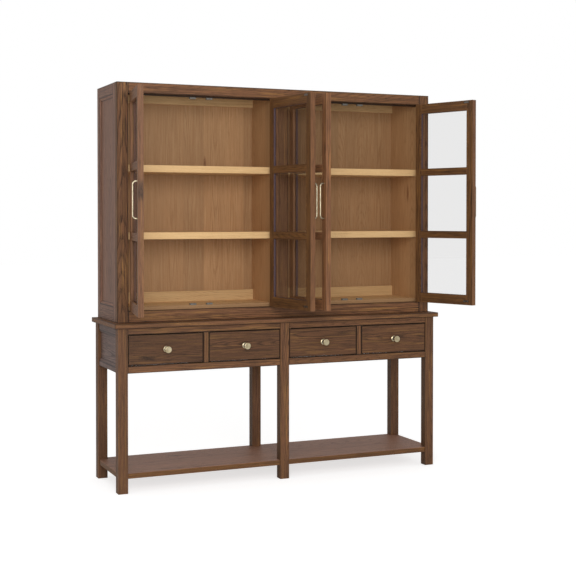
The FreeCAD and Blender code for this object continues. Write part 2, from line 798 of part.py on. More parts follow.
def door_cross_rail(name, frame, hand, foot_z, height, panes):
    """A rail between the stiles, rebated behind along each edge that meets a pane."""
    start_x = mirrored(hand, "door_edge_x + door_stile", "pane_width")
    body = board(name, frame, (start_x, "door_outer_y", foot_z), ("pane_width", "door_thickness", height),
                 FRONT_LONG)
    for edge in panes:
        rebate_z = f"{foot_z} + {height} - rebate_width" if edge == "above" else foot_z
        block(body, "Subtractive", (start_x, "door_outer_y + glass_setback", rebate_z),
              ("pane_width", "door_thickness - glass_setback", "rebate_width"))
    return body


def door_frame(name, frame, hand):
    """Two stiles, two rails and two glazing bars."""
    node = f"{name}_frame"
    return group(node, [
        door_stile(f"{node}_hinge_stile", frame, hand, "door_edge_x", True),
        door_stile(f"{node}_free_stile", frame, hand, "door_free_x - door_stile", False),
        door_cross_rail(f"{node}_bottom_rail", frame, hand, "0", "door_rail", ["above"]),
        door_cross_rail(f"{node}_lower_bar", frame, hand, f"{pane_foot(1)} - muntin_height",
                        "muntin_height", ["above", "below"]),
        door_cross_rail(f"{node}_upper_bar", frame, hand, f"{pane_foot(2)} - muntin_height",
                        "muntin_height", ["above", "below"]),
        door_cross_rail(f"{node}_top_rail", frame, hand, "door_height - door_rail", "door_rail", ["below"]),
    ])


def door_glass(name, frame, hand):
    """Three panes, each against the shoulder of its rebate with a little room round its edge."""
    node = f"{name}_glass"
    lap = "(rebate_width - glass_clearance)"
    width = f"(pane_width + 2 * {lap})"
    return group(node, [
        board(f"{node}_{row + 1}", frame,
              (mirrored(hand, f"door_edge_x + door_stile - {lap}", width), "door_outer_y + glass_setback",
               f"{pane_foot(row)} - {lap}"),
              (width, "glass_thickness", f"pane_height + 2 * {lap}"))
        for row in range(3)
    ])


def door_beads(name, frame, hand):
    """A mitred frame of glazing bead behind each pane, flush with the back of the door."""
    node = f"{name}_beads"
    start_y = "(door_outer_y + glass_setback + glass_thickness)"
    depth = "(door_thickness - glass_setback - glass_thickness)"
    width = "(pane_width + 2 * rebate_width)"
    beads = []
    for row in range(3):
        bead = board(f"{node}_{row + 1}", frame,
                     (mirrored(hand, "door_edge_x + door_stile - rebate_width", width), start_y,
                      f"{pane_foot(row)} - rebate_width"),
                     (width, depth, "pane_height + 2 * rebate_width"))
        block(bead, "Subtractive",
              (mirrored(hand, "door_edge_x + door_stile", "pane_width"), start_y, pane_foot(row)),
              ("pane_width", depth, "pane_height"))
        beads.append(bead)
    return group(node, beads)


def door_hardware(name, frame, hand):
    """The two leaves that turn on the pins, and the strike plates that meet the catches."""
    node = f"{name}_hardware"
    pieces = []
    for level, leaf_z in (("lower", "0"), ("upper", "door_height - leaf_thickness")):
        leaf = new_body(f"{node}_{level}_leaf", frame)
        hinge_leaf(leaf, "Additive", "0", "0", leaf_z, hand)
        peg(leaf, "Additive", ("0", "0", leaf_z), "boss_radius", "leaf_thickness")
        peg(leaf, "Subtractive", ("0", "0", leaf_z), "pin_radius + pin_clearance", "leaf_thickness")
        pieces.append(leaf)
    middle_x = "(door_free_x + door_meeting_gap / 2 - catch_offset)"
    levels = (("lower", "floor_top - door_foot"),
              ("upper", "ceiling - stop_height - catch_height - door_foot"))
    for level, foot_z in levels:
        pieces.append(board(f"{node}_{level}_strike", frame,
                            (mirrored(hand, f"{middle_x} - catch_width / 2", "catch_width"),
                             "door_inner_y", foot_z),
                            ("catch_width", "strike_thickness", "catch_height")))
    return group(node, pieces)


def door_pull(name, frame, hand):
    """A round bar bent into a wide D, with both ends square on the face of the door."""
    node = f"{name}_pull"
    body = new_body(node, frame)
    middle_x = f"{hand} * pull_x"
    path = new_sketch(body, f"{node}_path", "YZ_Plane", middle_x)
    spots = [("door_outer_y", "pull_rise - pull_half"),
             ("door_outer_y - pull_reach", "pull_rise - pull_half"),
             ("door_outer_y - pull_reach", "pull_rise + pull_half"),
             ("door_outer_y", "pull_rise + pull_half")]
    corners = [FreeCAD.Vector(value(y), value(z), 0) for y, z in spots]
    for start, end in zip(corners, corners[1:]):
        path.addGeometry(Part.LineSegment(start, end))
    bend = value("pull_bend")
    for corner in (0, 1):
        path.addConstraint(Sketcher.Constraint("Coincident", corner, 2, corner + 1, 1))
        path.fillet(corner, corner + 1, (corners[corner] + corners[corner + 1]) * 0.5,
                    (corners[corner + 1] + corners[corner + 2]) * 0.5, bend, True, False)
    for edge in (0, 2):
        path.addConstraint(Sketcher.Constraint("Horizontal", edge))
    path.addConstraint(Sketcher.Constraint("Vertical", 1))
    hold_point(path, 0, 1, spots[0])
    hold_point(path, 2, 2, spots[3])
    hold(path, Sketcher.Constraint("DistanceX", -1, 1, 1, 1, value(spots[1][0])), spots[1][0])
    for arc in (3, 4):
        hold(path, Sketcher.Constraint("Radius", arc, bend), "pull_bend")
    section = new_sketch(body, f"{node}_section", "XZ_Plane", "-(door_outer_y)")
    centre = FreeCAD.Vector(value(middle_x), value(spots[0][1]), 0)
    radius = value("pull_bar_radius")
    section.addGeometry(Part.Circle(centre, FreeCAD.Vector(0, 0, 1), radius))
    hold_point(section, 0, 3, (middle_x, spots[0][1]))
    hold(section, Sketcher.Constraint("Radius", 0, radius), "pull_bar_radius")
    DOC.recompute()
    bar = body.newObject("PartDesign::AdditivePipe", f"{node}_bar")
    bar.Profile = section
    bar.Spine = (path, [f"Edge{index + 1}" for index in range(len(path.Shape.Edges))])
    return body


def doors():
    """Four doors, each with a frame, glass, beads, hinge hardware and a pull."""
    pieces = []
    for number, (pivot_x, hand) in enumerate(PIVOTS, start=1):
        name = f"door_{number}"
        turn = f"{-hand} * door_{number}_open"
        frame = Frame(pivot_x, "hutch_face_y - pivot_reach", "counter_height + door_foot", turn)
        for make in (door_frame, door_glass, door_beads, door_hardware, door_pull):
            pieces.append(make(name, frame, hand))
    return pieces


# Build, check and write

def build():
    """Every named piece of the dresser."""
    nodes = legs() + [countertop(), low_shelf(), apron_rails(), drawer_dividers(), base_back_boards()]
    nodes += [drawer_runners(), base_side("left", LEFT), base_side("right", RIGHT)]
    nodes += drawers()
    nodes += [face_stiles(), face_rails(), hutch_side("left", LEFT), hutch_side("right", RIGHT)]
    nodes += [hutch_top(), hutch_back(), linings()]
    nodes += interior()
    nodes += [door_catches(), hinge_plates()]
    return nodes + doors()


def faults(nodes):
    """Names of objects that failed to compute, and of pieces without a sound solid."""
    failed = [item.Label for item in DOC.Objects if {"Invalid", "Error"} & set(item.State)]
    unsound = [node.Label for node in nodes if node.Shape.isNull() or not node.Shape.isValid()]
    return failed + unsound


def write(nodes):
    """One STEP file for each named piece."""
    os.makedirs("parts", exist_ok=True)
    for node in nodes:
        node.Shape.exportStep(f"parts/{node.Label}.step")
        print(f"{node.Label}: {len(node.Shape.Solids)} solids, {node.Shape.Volume / 1000:.1f} cm3")


fill_sheet("Sizes", {alias: str(number) for alias, number in SIZES.items()})
PLACES_SHEET = fill_sheet("Places", {alias: f"={spell(formula)}" for alias, formula in PLACES.items()})
DOC.recompute()
NODES = build()
DOC.recompute()
if faults(NODES):
    raise RuntimeError(f"pieces that failed: {faults(NODES)}")
write(NODES)
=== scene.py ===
"""Oak dresser with a glazed hutch: its timber, glass, fittings and studio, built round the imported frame."""

import json
import logging
import math
from collections.abc import Iterator
from contextlib import contextmanager
from dataclasses import dataclass, field, replace
from enum import Enum
from functools import cache
from random import Random

import bpy
import numpy as np
from mathutils import Matrix, Vector

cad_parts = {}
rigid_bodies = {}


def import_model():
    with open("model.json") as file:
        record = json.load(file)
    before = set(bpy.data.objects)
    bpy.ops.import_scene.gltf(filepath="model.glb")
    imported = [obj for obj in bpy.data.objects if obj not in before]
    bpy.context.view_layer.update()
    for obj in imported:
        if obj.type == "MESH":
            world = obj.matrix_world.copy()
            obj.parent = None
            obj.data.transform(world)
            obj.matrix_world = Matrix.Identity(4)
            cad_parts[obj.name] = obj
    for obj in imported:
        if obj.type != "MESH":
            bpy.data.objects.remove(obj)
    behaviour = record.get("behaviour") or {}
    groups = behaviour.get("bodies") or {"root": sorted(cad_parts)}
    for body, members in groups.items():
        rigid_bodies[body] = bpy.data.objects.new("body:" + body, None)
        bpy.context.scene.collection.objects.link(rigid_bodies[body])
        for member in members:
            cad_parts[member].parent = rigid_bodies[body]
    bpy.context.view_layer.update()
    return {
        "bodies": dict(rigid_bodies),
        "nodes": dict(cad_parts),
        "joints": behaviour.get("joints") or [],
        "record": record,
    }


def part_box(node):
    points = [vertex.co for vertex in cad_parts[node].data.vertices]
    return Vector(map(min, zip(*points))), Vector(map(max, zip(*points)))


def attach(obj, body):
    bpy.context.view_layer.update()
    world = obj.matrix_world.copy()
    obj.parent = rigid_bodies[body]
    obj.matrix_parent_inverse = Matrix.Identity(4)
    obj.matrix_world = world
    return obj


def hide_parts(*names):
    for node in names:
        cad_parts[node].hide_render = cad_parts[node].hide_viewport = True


Tree = bpy.types.NodeTree
Socket = bpy.types.NodeSocket
Material = bpy.types.Material
Piece = bpy.types.Object
Pair = tuple[float, float]
Triple = tuple[float, float, float]

LOG = logging.getLogger("dresser")
MM = 0.001
SEED = 7
# Corners this near are one corner: in metres, and as a number of decimals.
MERGE = 0.00001
DECIMALS = 6
# A sum of signed edges below this is nought but for rounding.
ROUNDING = 1e-9
QUARTER = math.radians(90)
# Triangles that meet at less than FLAT lie in one face, and edges sharper than SHARP are eased.
FLAT = math.radians(0.5)
SHARP = math.radians(50)
# The least part of a normal along an axis for a face that looks that way, or squarely so.
ALONG = 0.5
SQUARE_ON = 0.9
# Boards are high above SHOULDER, at the left end past LEFT_END and in the middle within MIDDLE metres.
SHOULDER = 1.5
LEFT_END = 0.5
MIDDLE = 0.1

# A stave lies up to this share of its width off its board's middle; a plain board is one wide stave.
STAVE_DRIFT = 0.3
ONE_STAVE = 2.0
# Each board's seed is below SEEDS, and each stave is cut from a log this long each way, in metres.
SEEDS = 9
LOG_REACH = (9, 9, 9)
# How near the pith lies to a stave, how much farther it may lie, and how far it wanders, in metres.
PITH_START = (0, -0.07, 0.035)
PITH_REACH = (0, 0.14, 0.08)
PITH_WANDER = (0, 0.03, 0.045)

# The sockets of a Mix node that lays one colour over another, and its settings.
SHARE, UNDER, OVER = 0, 6, 7
COLOURS = {"out": 2, "data_type": "RGBA"}

# Where each mark begins and is full, as a share of its pattern, and how strong it is at each.
SOFT = {"interpolation_type": "SMOOTHSTEP"}
KNOT_CORE = (0.15, 0.05)
KNOT_SWIRL = (0.4, 0.05, 0, 1.6)
EARLY_WOOD = (0.42, 0)
RING_TURN = (0.88, 1)
OPEN_PORE = (0.5, 0.64)
BOLD_FIGURE = (0.4, 0.6, 0.35)
DARK_STREAK = (0.44, 0.6)
LIGHT_GLEAM = (0.52, 0.68)
EDGE_PATCH = (0.3, 0.6)
KNOT_STRENGTH = 0.9
RAGGED = 0.7
LATE_PORES, EARLY_PORES = 0.3, 0.7
PATCHINESS = 1.1
SUNK_EARLY_WOOD = 0.6
SUNK_ROUGHNESS = 0.12


def linear(code: str) -> tuple[float, float, float, float]:
    """Turns an sRGB hex code into a linear colour.

    Args:
        code: Six hex digits, two each for red, green and blue.

    Returns:
        The linear red, green and blue, and an alpha of 1.
    """
    shares = [int(code[i : i + 2], 16) / 255 for i in (0, 2, 4)]
    red, green, blue = (s / 12.92 if s <= 0.04045 else ((s + 0.055) / 1.055) ** 2.4 for s in shares)
    return red, green, blue, 1.0


def add(
    tree: Tree, kind: str, feeds: tuple | dict = (), out: int | str = 0, **settings: object
) -> Socket | None:
    """Adds a shader node with its settings and what feeds it.

    Args:
        tree: The node tree to add to.
        kind: The node's type without ShaderNode before it, and its operation after a full stop.
        feeds: A socket or a plain value for each input, in order or by its number or name.
        out: The number or name of the output wanted.
        settings: The node's own settings.

    Returns:
        The wanted output, or None for a node that has no output.
    """
    kind, _, operation = kind.partition(".")
    node = tree.nodes.new(f"ShaderNode{kind}")
    if operation:
        node.operation = operation
    for name, value in settings.items():
        setattr(node, name, value)
    for key, feed in (feeds if isinstance(feeds, dict) else dict(enumerate(feeds))).items():
        if isinstance(feed, Socket):
            tree.links.new(feed, node.inputs[key])
        else:
            node.inputs[key].default_value = feed
    return node.outputs[out] if len(node.outputs) else None


def new_material(name: str) -> tuple[Material, Tree]:
    """Makes a material with an empty node tree.

    Args:
        name: The finish's name.

    Returns:
        The material and its tree.
    """
    material = bpy.data.materials.new(name)
    material.use_nodes = True
    material.node_tree.nodes.clear()
    return material, material.node_tree


# Finishes


class Pattern(Enum):
    """How many features of a pattern lie in a metre along, across and through a board.

    Pores are about 0.3 mm wide and 1 mm apart, and are drawn 3 mm apart to show. Fibres, streaks and
    gleams follow bundles about 2 mm wide, and are drawn 7 mm apart. The rest is as coarse as in the log.
    """

    SWAY = (1.6, 5, 5)
    KNOT = (2.1, 8, 2)
    FIBRE = (5, 130, 130)
    PORE = (16, 300, 300)
    BOLD = (0.9, 8, 8)
    STREAK = (4, 150, 150)
    GLEAM = (4, 130, 130)
    TONE = (1.2, 9, 9)
    RUB = (14, 14, 14)


class Spot:
    """A point of a board, in its stave and in the log that the stave was cut from."""

    def __init__(self, tree: Tree) -> None:
        """Reads what Timber.mark wrote, and finds the stave of a wide board that the point is on.

        Args:
            tree: The node tree to read it in.
        """
        self.tree = tree
        self.point = add(tree, "Attribute", out="Vector", attribute_name="board_point")
        look = add(tree, "Attribute", out="Vector", attribute_name="board_look")
        self.tone, stave, seed = add(tree, "SeparateXYZ", (look,)).node.outputs
        self.along, across, through = add(tree, "SeparateXYZ", (self.point,)).node.outputs
        middle = add(tree, "Math.MULTIPLY", (stave, 0.5))
        shifted = add(tree, "Math.ADD", (across, middle))
        centre = add(tree, "Math.SNAP", (shifted, stave))
        local = add(tree, "Math.SUBTRACT", (across, centre))
        label = add(tree, "CombineXYZ", (centre, seed, self.tone))
        self.chance = add(tree, "TexWhiteNoise", (label,), out="Color")
        self.here = add(tree, "CombineXYZ", (self.along, local, through))
        self.own = add(tree, "VectorMath.MULTIPLY_ADD", (self.chance, LOG_REACH, self.here))

    def noise(self, pattern: Pattern, detail: float, out: str = "Fac") -> Socket:
        """Draws a pattern, in so much detail, out along the grain of the stave."""
        drawn = add(self.tree, "Mapping", {"Vector": self.own, "Scale": pattern.value})
        return add(self.tree, "TexNoise", {"Vector": drawn, "Scale": 1, "Detail": detail}, out=out)


@dataclass(frozen=True)
class Oak:
    """Oak, sawn into boards: growth rings, open pores, streaks and gleams, knots, and edges that are rubbed
    or carry painted shade.

    The rings are drawn wider apart than oak's, so that the figure shows on a piece of furniture seen
    whole. Their spacing, the edges' width and the brush's relief are in metres. The knots are the share
    of places for a knot that have one, and the other numbers say how strongly each mark shows.
    """

    name: str
    light: str
    dark: str
    streak: str
    gleam: str
    pore: str
    knot: str
    edge_wear_and_shade: str
    ring: float = 0.004
    lean: float = 0.12
    sway: float = 0.3
    figure: float = 0.65
    streaks: float = 0.6
    gleams: float = 0.55
    pores: float = 0.85
    knots: float = 0.2
    edge_strength: float = 0.5
    wear_width: float = 0.005
    edge_patches: float = 1.0
    spread: float = 0.28
    roughness: float = 0.5
    specular: float = 0.3
    relief: float = 0.0004

    @cache
    def material(self) -> Material:
        """Builds the finish from each board's own coordinates.

        Returns:
            The finish, built once.
        """
        material, tree = new_material(self.name)
        spot = Spot(tree)
        early, knot = self.rings(spot)
        # Pores open mostly in the early wood.
        opened = add(tree, "MapRange", (spot.noise(Pattern.PORE, 3), *OPEN_PORE))
        bedded = add(tree, "Math.MULTIPLY_ADD", (early, EARLY_PORES, LATE_PORES))
        pores = add(tree, "Math.MULTIPLY", (opened, bedded))
        colour = self.edged(spot, self.coloured(spot, early, pores, knot))
        # The brush has taken the soft early wood down, so that and the pores stay dull.
        sunk = add(tree, "Math.MULTIPLY_ADD", (early, SUNK_EARLY_WOOD, pores))
        bump = add(tree, "Bump", {"Strength": 1, "Distance": self.relief, "Height": sunk}, invert=True)
        rough = add(tree, "Math.MULTIPLY_ADD", (sunk, SUNK_ROUGHNESS, self.roughness))
        # A thin matt oil, and pores that scatter, leave about half of a lacquer's reflection.
        matt = {"Roughness": rough, "Specular IOR Level": self.specular, "Normal": bump}
        surface = add(tree, "BsdfPrincipled", {"Base Color": colour, **matt})
        add(tree, "OutputMaterial", {"Surface": surface})
        return material

    def rings(self, spot: Spot) -> tuple[Socket, Socket]:
        """Draws growth rings about a pith that lies off the board, leans and wanders, and bends at knots.

        Args:
            spot: The point of the board.

        Returns:
            How far the point lies in early wood and in a knot, each from 0 to 1.
        """
        tree = spot.tree
        reach = (spot.chance, PITH_REACH, PITH_START)
        offset = add(tree, "VectorMath.MULTIPLY_ADD", reach)
        pith = add(tree, "VectorMath.ADD", (spot.here, offset))
        wander = tuple(far * self.sway for far in PITH_WANDER)
        swing = spot.noise(Pattern.SWAY, 2, "Color")
        swayed = add(tree, "VectorMath.MULTIPLY_ADD", (swing, wander, pith))
        third = add(tree, "SeparateXYZ", (spot.chance,), out=2)
        either_way = add(tree, "Math.SUBTRACT", (third, 0.5))
        tilt = add(tree, "Math.MULTIPLY", (either_way, self.lean))
        rise = add(tree, "Math.MULTIPLY", (tilt, spot.along))
        leaning = add(tree, "CombineXYZ", {2: rise})
        in_log = add(tree, "VectorMath.ADD", (swayed, leaning))
        spoke = add(tree, "VectorMath.MULTIPLY", (in_log, (0, 1, 1)))
        radius = add(tree, "VectorMath.LENGTH", (spoke,), out="Value")
        count = add(tree, "Math.DIVIDE", (radius, self.ring))

        # At most one knot in each half metre or so of a stave.
        cells = add(tree, "Mapping", {"Vector": spot.own, "Scale": Pattern.KNOT.value})
        near = add(tree, "TexVoronoi", {"Vector": cells, "Scale": 1}, out="Distance")
        lot = add(tree, "SeparateXYZ", (near.node.outputs["Color"],))
        kept = add(tree, "Math.GREATER_THAN", (lot, 1 - self.knots))
        core = add(tree, "MapRange", (near, *KNOT_CORE), **SOFT)
        knot = add(tree, "Math.MULTIPLY", (core, kept))
        swirl = add(tree, "MapRange", (near, *KNOT_SWIRL), **SOFT)
        bent = add(tree, "Math.MULTIPLY_ADD", (swirl, kept, count))

        fibre = spot.noise(Pattern.FIBRE, 3)
        ragged = add(tree, "Math.MULTIPLY_ADD", (fibre, RAGGED, bent))
        season = add(tree, "Math.FRACT", (ragged,))
        spring = add(tree, "MapRange", (season, *EARLY_WOOD), **SOFT)
        turn = add(tree, "MapRange", (season, *RING_TURN), **SOFT)
        return add(tree, "Math.MAXIMUM", (spring, turn)), knot

    def coloured(self, spot: Spot, early: Socket, pores: Socket, knot: Socket) -> Socket:
        """Lays the colours over each other, from the broad figure down to the pores and knots.

        Args:
            spot: The point of the board.
            early: How far it lies in early wood.
            pores: How far it lies in a pore.
            knot: How far it lies in a knot.

        Returns:
            The colour, in the tone of the board and of the stave.
        """
        tree = spot.tree
        # The figure is bold in places and faint in others.
        bold = add(tree, "MapRange", (spot.noise(Pattern.BOLD, 1), *BOLD_FIGURE))
        figured = add(tree, "Math.MULTIPLY", (early, bold))
        streak = add(tree, "MapRange", (spot.noise(Pattern.STREAK, 4), *DARK_STREAK), **SOFT)
        gleam = add(tree, "MapRange", (spot.noise(Pattern.GLEAM, 3), *LIGHT_GLEAM), **SOFT)
        layers = (
            (figured, self.figure, self.dark),
            (streak, self.streaks, self.streak),
            (gleam, self.gleams, self.gleam),
            (pores, self.pores, self.pore),
            (knot, KNOT_STRENGTH, self.knot),
        )
        colour = linear(self.light)
        for mask, strength, code in layers:
            share = add(tree, "Math.MULTIPLY", (mask, strength))
            colour = add(tree, "Mix", {SHARE: share, UNDER: colour, OVER: linear(code)}, **COLOURS)
        broad = add(tree, "Math.SUBTRACT", (spot.noise(Pattern.TONE, 1), 0.5))
        first = add(tree, "SeparateXYZ", (spot.chance,))
        stave_tone = add(tree, "Math.SUBTRACT", (first, 0.5))
        patch = add(tree, "Math.MULTIPLY_ADD", (broad, PATCHINESS, stave_tone))
        own_tone = add(tree, "Math.MULTIPLY_ADD", (patch, self.spread, spot.tone))
        value = add(tree, "Math.ADD", (own_tone, 1.0))
        return add(tree, "HueSaturation", {"Value": value, "Color": colour})

    def edged(self, spot: Spot, colour: Socket) -> Socket:
        """Lays the edge's colour along the edges of each board: rubbed wear in some finishes, painted shade
        in others.

        Args:
            spot: The point of the board.
            colour: The colour of the wood there.

        Returns:
            The colour with the edges.
        """
        tree = spot.tree
        half = add(tree, "Attribute", out="Vector", attribute_name="board_half")
        drift = add(tree, "Attribute", out="Vector", attribute_name="board_drift")
        placed = add(tree, "VectorMath.SUBTRACT", (spot.point, drift))
        inside = add(tree, "VectorMath.ABSOLUTE", (placed,))
        margin = add(tree, "VectorMath.SUBTRACT", (half, inside))
        # On the board's skin the least of the three margins is nought, so the next one tells the edge.
        end, side, face = add(tree, "SeparateXYZ", (margin,)).node.outputs
        least = add(tree, "Math.MINIMUM", (side, face))
        most = add(tree, "Math.MAXIMUM", (side, face))
        nearer = add(tree, "Math.MINIMUM", (most, end))
        edge = add(tree, "Math.MAXIMUM", (least, nearer))
        # The edge colour: light wear in some finishes, dark painted shade in others.
        edge_wear_and_shade = add(tree, "MapRange", (edge, self.wear_width, 0, 0, self.edge_strength), **SOFT)
        edge_cloud = spot.noise(Pattern.RUB, 2)
        uneven = add(tree, "MapRange", (edge_cloud, *EDGE_PATCH, 1 - self.edge_patches))
        edge_strength = add(tree, "Math.MULTIPLY", (edge_wear_and_shade, uneven))
        return add(tree, "Mix", {SHARE: edge_strength, UNDER: colour, OVER: linear(self.edge_wear_and_shade)}, **COLOURS)


@dataclass(frozen=True)
class Paint:
    """An even dark coat with faint brush lines along each bead: painted shade in the reveal round a pane."""

    name: str
    colour: str
    roughness: float = 0.8
    lines: Triple = (8, 500, 500)
    tones: Pair = (0.75, 1.25)
    relief: float = 0.0002
    strength: float = 0.3

    @cache
    def material(self) -> Material:
        """Builds the finish from each board's own coordinates.

        Returns:
            The finish, built once.
        """
        material, tree = new_material(self.name)
        point = add(tree, "Attribute", out="Vector", attribute_name="board_point")
        # Bristles leave lines about 0.5 mm apart, drawn at 2 mm to show.
        stretched = add(tree, "Mapping", {"Vector": point, "Scale": self.lines})
        brushed = add(tree, "TexNoise", {"Vector": stretched, "Scale": 1, "Detail": 2})
        value = add(tree, "MapRange", (brushed, 0, 1, *self.tones))
        colour = add(tree, "HueSaturation", {"Value": value, "Color": linear(self.colour)})
        mark = {"Strength": self.strength, "Distance": self.relief, "Height": brushed}
        bump = add(tree, "Bump", mark)
        coat = {"Base Color": colour, "Roughness": self.roughness, "Normal": bump}
        add(tree, "OutputMaterial", {"Surface": add(tree, "BsdfPrincipled", coat)})
        return material


@dataclass(frozen=True)
class Brushed:
    """Metal, brushed: a soft gleam with faint scratches, and duller in clouds."""

    name: str
    bright: str
    dull: str
    roughness: float = 0.3
    lines: Triple = (1200, 1200, 90)
    relief: float = 0.00012
    strength: float = 0.3
    polish: Pair = (-0.06, 0.12)
    clouds: float = 70
    cloud_edge: Pair = (0.4, 0.7)

    @cache
    def material(self) -> Material:
        """Builds the finish from fine scratches and a slow change of colour.

        Returns:
            The finish, built once.
        """
        material, tree = new_material(self.name)
        place = add(tree, "TexCoord", out="Object")
        # Brushing leaves lines about 0.3 mm apart, drawn at 0.8 mm to show.
        across = add(tree, "Mapping", {"Vector": place, "Scale": self.lines})
        lines = add(tree, "TexNoise", {"Vector": across, "Scale": 1, "Detail": 2})
        cloud = add(tree, "TexNoise", {"Vector": place, "Scale": self.clouds, "Detail": 2})
        tarnish = add(tree, "MapRange", (cloud, *self.cloud_edge))
        blend = {SHARE: tarnish, UNDER: linear(self.bright), OVER: linear(self.dull)}
        colour = add(tree, "Mix", blend, **COLOURS)
        ends = (self.roughness + step for step in self.polish)
        rough = add(tree, "MapRange", (lines, 0, 1, *ends))
        mark = {"Strength": self.strength, "Distance": self.relief, "Height": lines}
        bump = add(tree, "Bump", mark)
        metal = {"Base Color": colour, "Metallic": 1, "Roughness": rough, "Normal": bump}
        add(tree, "OutputMaterial", {"Surface": add(tree, "BsdfPrincipled", metal)})
        return material


@dataclass(frozen=True)
class Glass:
    """Float glass in a thin pane: nearly clear, with reflections that grow towards a grazing view."""

    name: str
    tint: str
    roughness: float = 0.03
    index: float = 1.5

    @cache
    def material(self) -> Material:
        """Builds a thin pane that light and sight pass straight through.

        Returns:
            The finish, built once.
        """
        material, tree = new_material(self.name)
        clear = add(tree, "BsdfTransparent", {"Color": linear(self.tint)})
        gloss = add(tree, "BsdfGlossy", {"Roughness": self.roughness})
        # A back face would count as the inside of a block, so only a front face reflects.
        glance = add(tree, "Fresnel", {"IOR": self.index})
        behind = add(tree, "NewGeometry", out="Backfacing")
        front = add(tree, "Math.SUBTRACT", (1.0, behind))
        share = add(tree, "Math.MULTIPLY", (glance, front))
        surface = add(tree, "MixShader", (share, clear, gloss))
        add(tree, "OutputMaterial", {"Surface": surface})
        return material


@dataclass(frozen=True)
class Moulding:
    """Moulded nylon: a skin with a fine grain, neither shiny nor chalky."""

    name: str
    colour: str
    roughness: float = 0.45
    grit: float = 1500
    relief: float = 0.0002
    strength: float = 0.2
    clouds: float = 60
    tones: Pair = (0.85, 1.15)

    @cache
    def material(self) -> Material:
        """Builds the finish with the moulded grain, about 0.7 mm, as a bump.

        Returns:
            The finish, built once.
        """
        material, tree = new_material(self.name)
        place = add(tree, "TexCoord", out="Object")
        grain = add(tree, "TexNoise", {"Vector": place, "Scale": self.grit, "Detail": 1})
        cloud = add(tree, "TexNoise", {"Vector": place, "Scale": self.clouds})
        value = add(tree, "MapRange", (cloud, 0, 1, *self.tones))
        colour = add(tree, "HueSaturation", {"Value": value, "Color": linear(self.colour)})
        mark = {"Strength": self.strength, "Distance": self.relief, "Height": grain}
        bump = add(tree, "Bump", mark)
        skin = {"Base Color": colour, "Roughness": self.roughness, "Normal": bump}
        add(tree, "OutputMaterial", {"Surface": add(tree, "BsdfPrincipled", skin)})
        return material


# Stained and wire-brushed: a warm middle brown with dark open grain and golden glints between.
BROWN_OAK = Oak(
    "wire_brushed_brown_oak", light="865A3B", dark="2F1D10", streak="432C1B", gleam="B28146",
    pore="1A100A", knot="1D130C", edge_wear_and_shade="94694A",
)
# Straight slow-grown boards for the doors: the same brown, quieter.
FINE_OAK = replace(BROWN_OAK, name="fine_grained_brown_oak", figure=0.45, streaks=0.45, gleams=0.35)
# Painted shade along the edges: a dark line round each board and each opening, for the shade in the gaps
# between parts.
SHADED_EDGE_OAK = replace(
    BROWN_OAK, name="glazed_edge_oak", edge_wear_and_shade="160D08", edge_strength=0.97, wear_width=0.0055, edge_patches=0.2
)
# A plain-sawn board from a crooked log: bold cathedral arches, with the same painted shade along its edges.
FIGURED_OAK = replace(
    SHADED_EDGE_OAK, name="figured_brown_oak", ring=0.0065, figure=1.0, streaks=0.7, gleams=0.8,
    lean=0.35, sway=1.0,
)
# Painted shade on rims, on the legs' faces into the bays and on the inner sides of the doors: a shadowed copy
# of the brown.
SHADED_BROWN_OAK = replace(
    BROWN_OAK, name="deep_stained_oak", light="6C4828", dark="28180B", streak="372313", gleam="946734",
    edge_wear_and_shade="7E5636",
)
# The same, darker still, as painted shade in the gaps round the drawers and rails: nearly black, and dull.
GAP_SHADE_RIM_OAK = replace(
    SHADED_BROWN_OAK, name="glazed_deep_oak", edge_wear_and_shade="160D08", edge_strength=0.82, wear_width=0.01, edge_patches=0.2,
    specular=0.1,
)
# Painted shadow under the top rail: a near-black brown on the upper door stops.
RAIL_SHADOW_OAK = replace(
    BROWN_OAK, name="dark_waxed_oak", light="33200F", dark="1A0F07", streak="26170B", gleam="402917",
    edge_wear_and_shade="4A3020",
)
# Painted sheen: a grey veil for the white room's reflection on the hutch's sides, cooler, with dark lines
# along the joints as painted shade in the recesses.
SHEEN_GREY_OAK = replace(
    BROWN_OAK, name="wire_brushed_greyed_oak", light="8E6550", dark="3C2820", streak="4E392E",
    gleam="9C7759", edge_wear_and_shade="1F1511", figure=0.75, edge_strength=0.9, edge_patches=0.2, spread=0.4, specular=0.42,
)
# More painted sheen, on the base's sides: greyer still.
SHEEN_COOL_OAK = replace(
    SHEEN_GREY_OAK, name="cool_greyed_oak", light="80645A", dark="362923", streak="4A3B36", gleam="8C7466"
)
# Painted sheen on the low shelf's top, with a soft light border of worn edges.
SHEEN_TOP_OAK = replace(SHEEN_GREY_OAK, name="greyed_top_oak", edge_wear_and_shade="94694A", edge_strength=0.4, edge_patches=1.0)
# Planed and oiled, with no stain: pale honey with thin brown pores.
GOLDEN_OAK = Oak(
    "oiled_natural_oak", light="DBB581", dark="BC9463", streak="C69D6A", gleam="E4C08C", pore="94683E",
    knot="6A3F26", edge_wear_and_shade="DDB684", figure=0.5, streaks=0.4, gleams=0.4, pores=0.4, knots=0.3, edge_strength=0.25,
    spread=0.2, relief=0.0002,
)
# For the hutch's back: a deeper amber with small knots, partly its own colour and partly painted shade inside
# the bays.
AMBER_SHADE_OAK = replace(
    GOLDEN_OAK, name="oiled_amber_oak", light="B18960", dark="8A613C", streak="966C44", gleam="BE9A70",
    pore="74502F", edge_wear_and_shade="AF875E", figure=0.45, gleams=0.45, pores=0.35, knots=0.45, spread=0.24,
)
# Painted shade: a dull violet-grey line in the reveal between each pane and its frame.
REVEAL_SHADE_PAINT = Paint("matt_graphite_paint", colour="4C3A40")
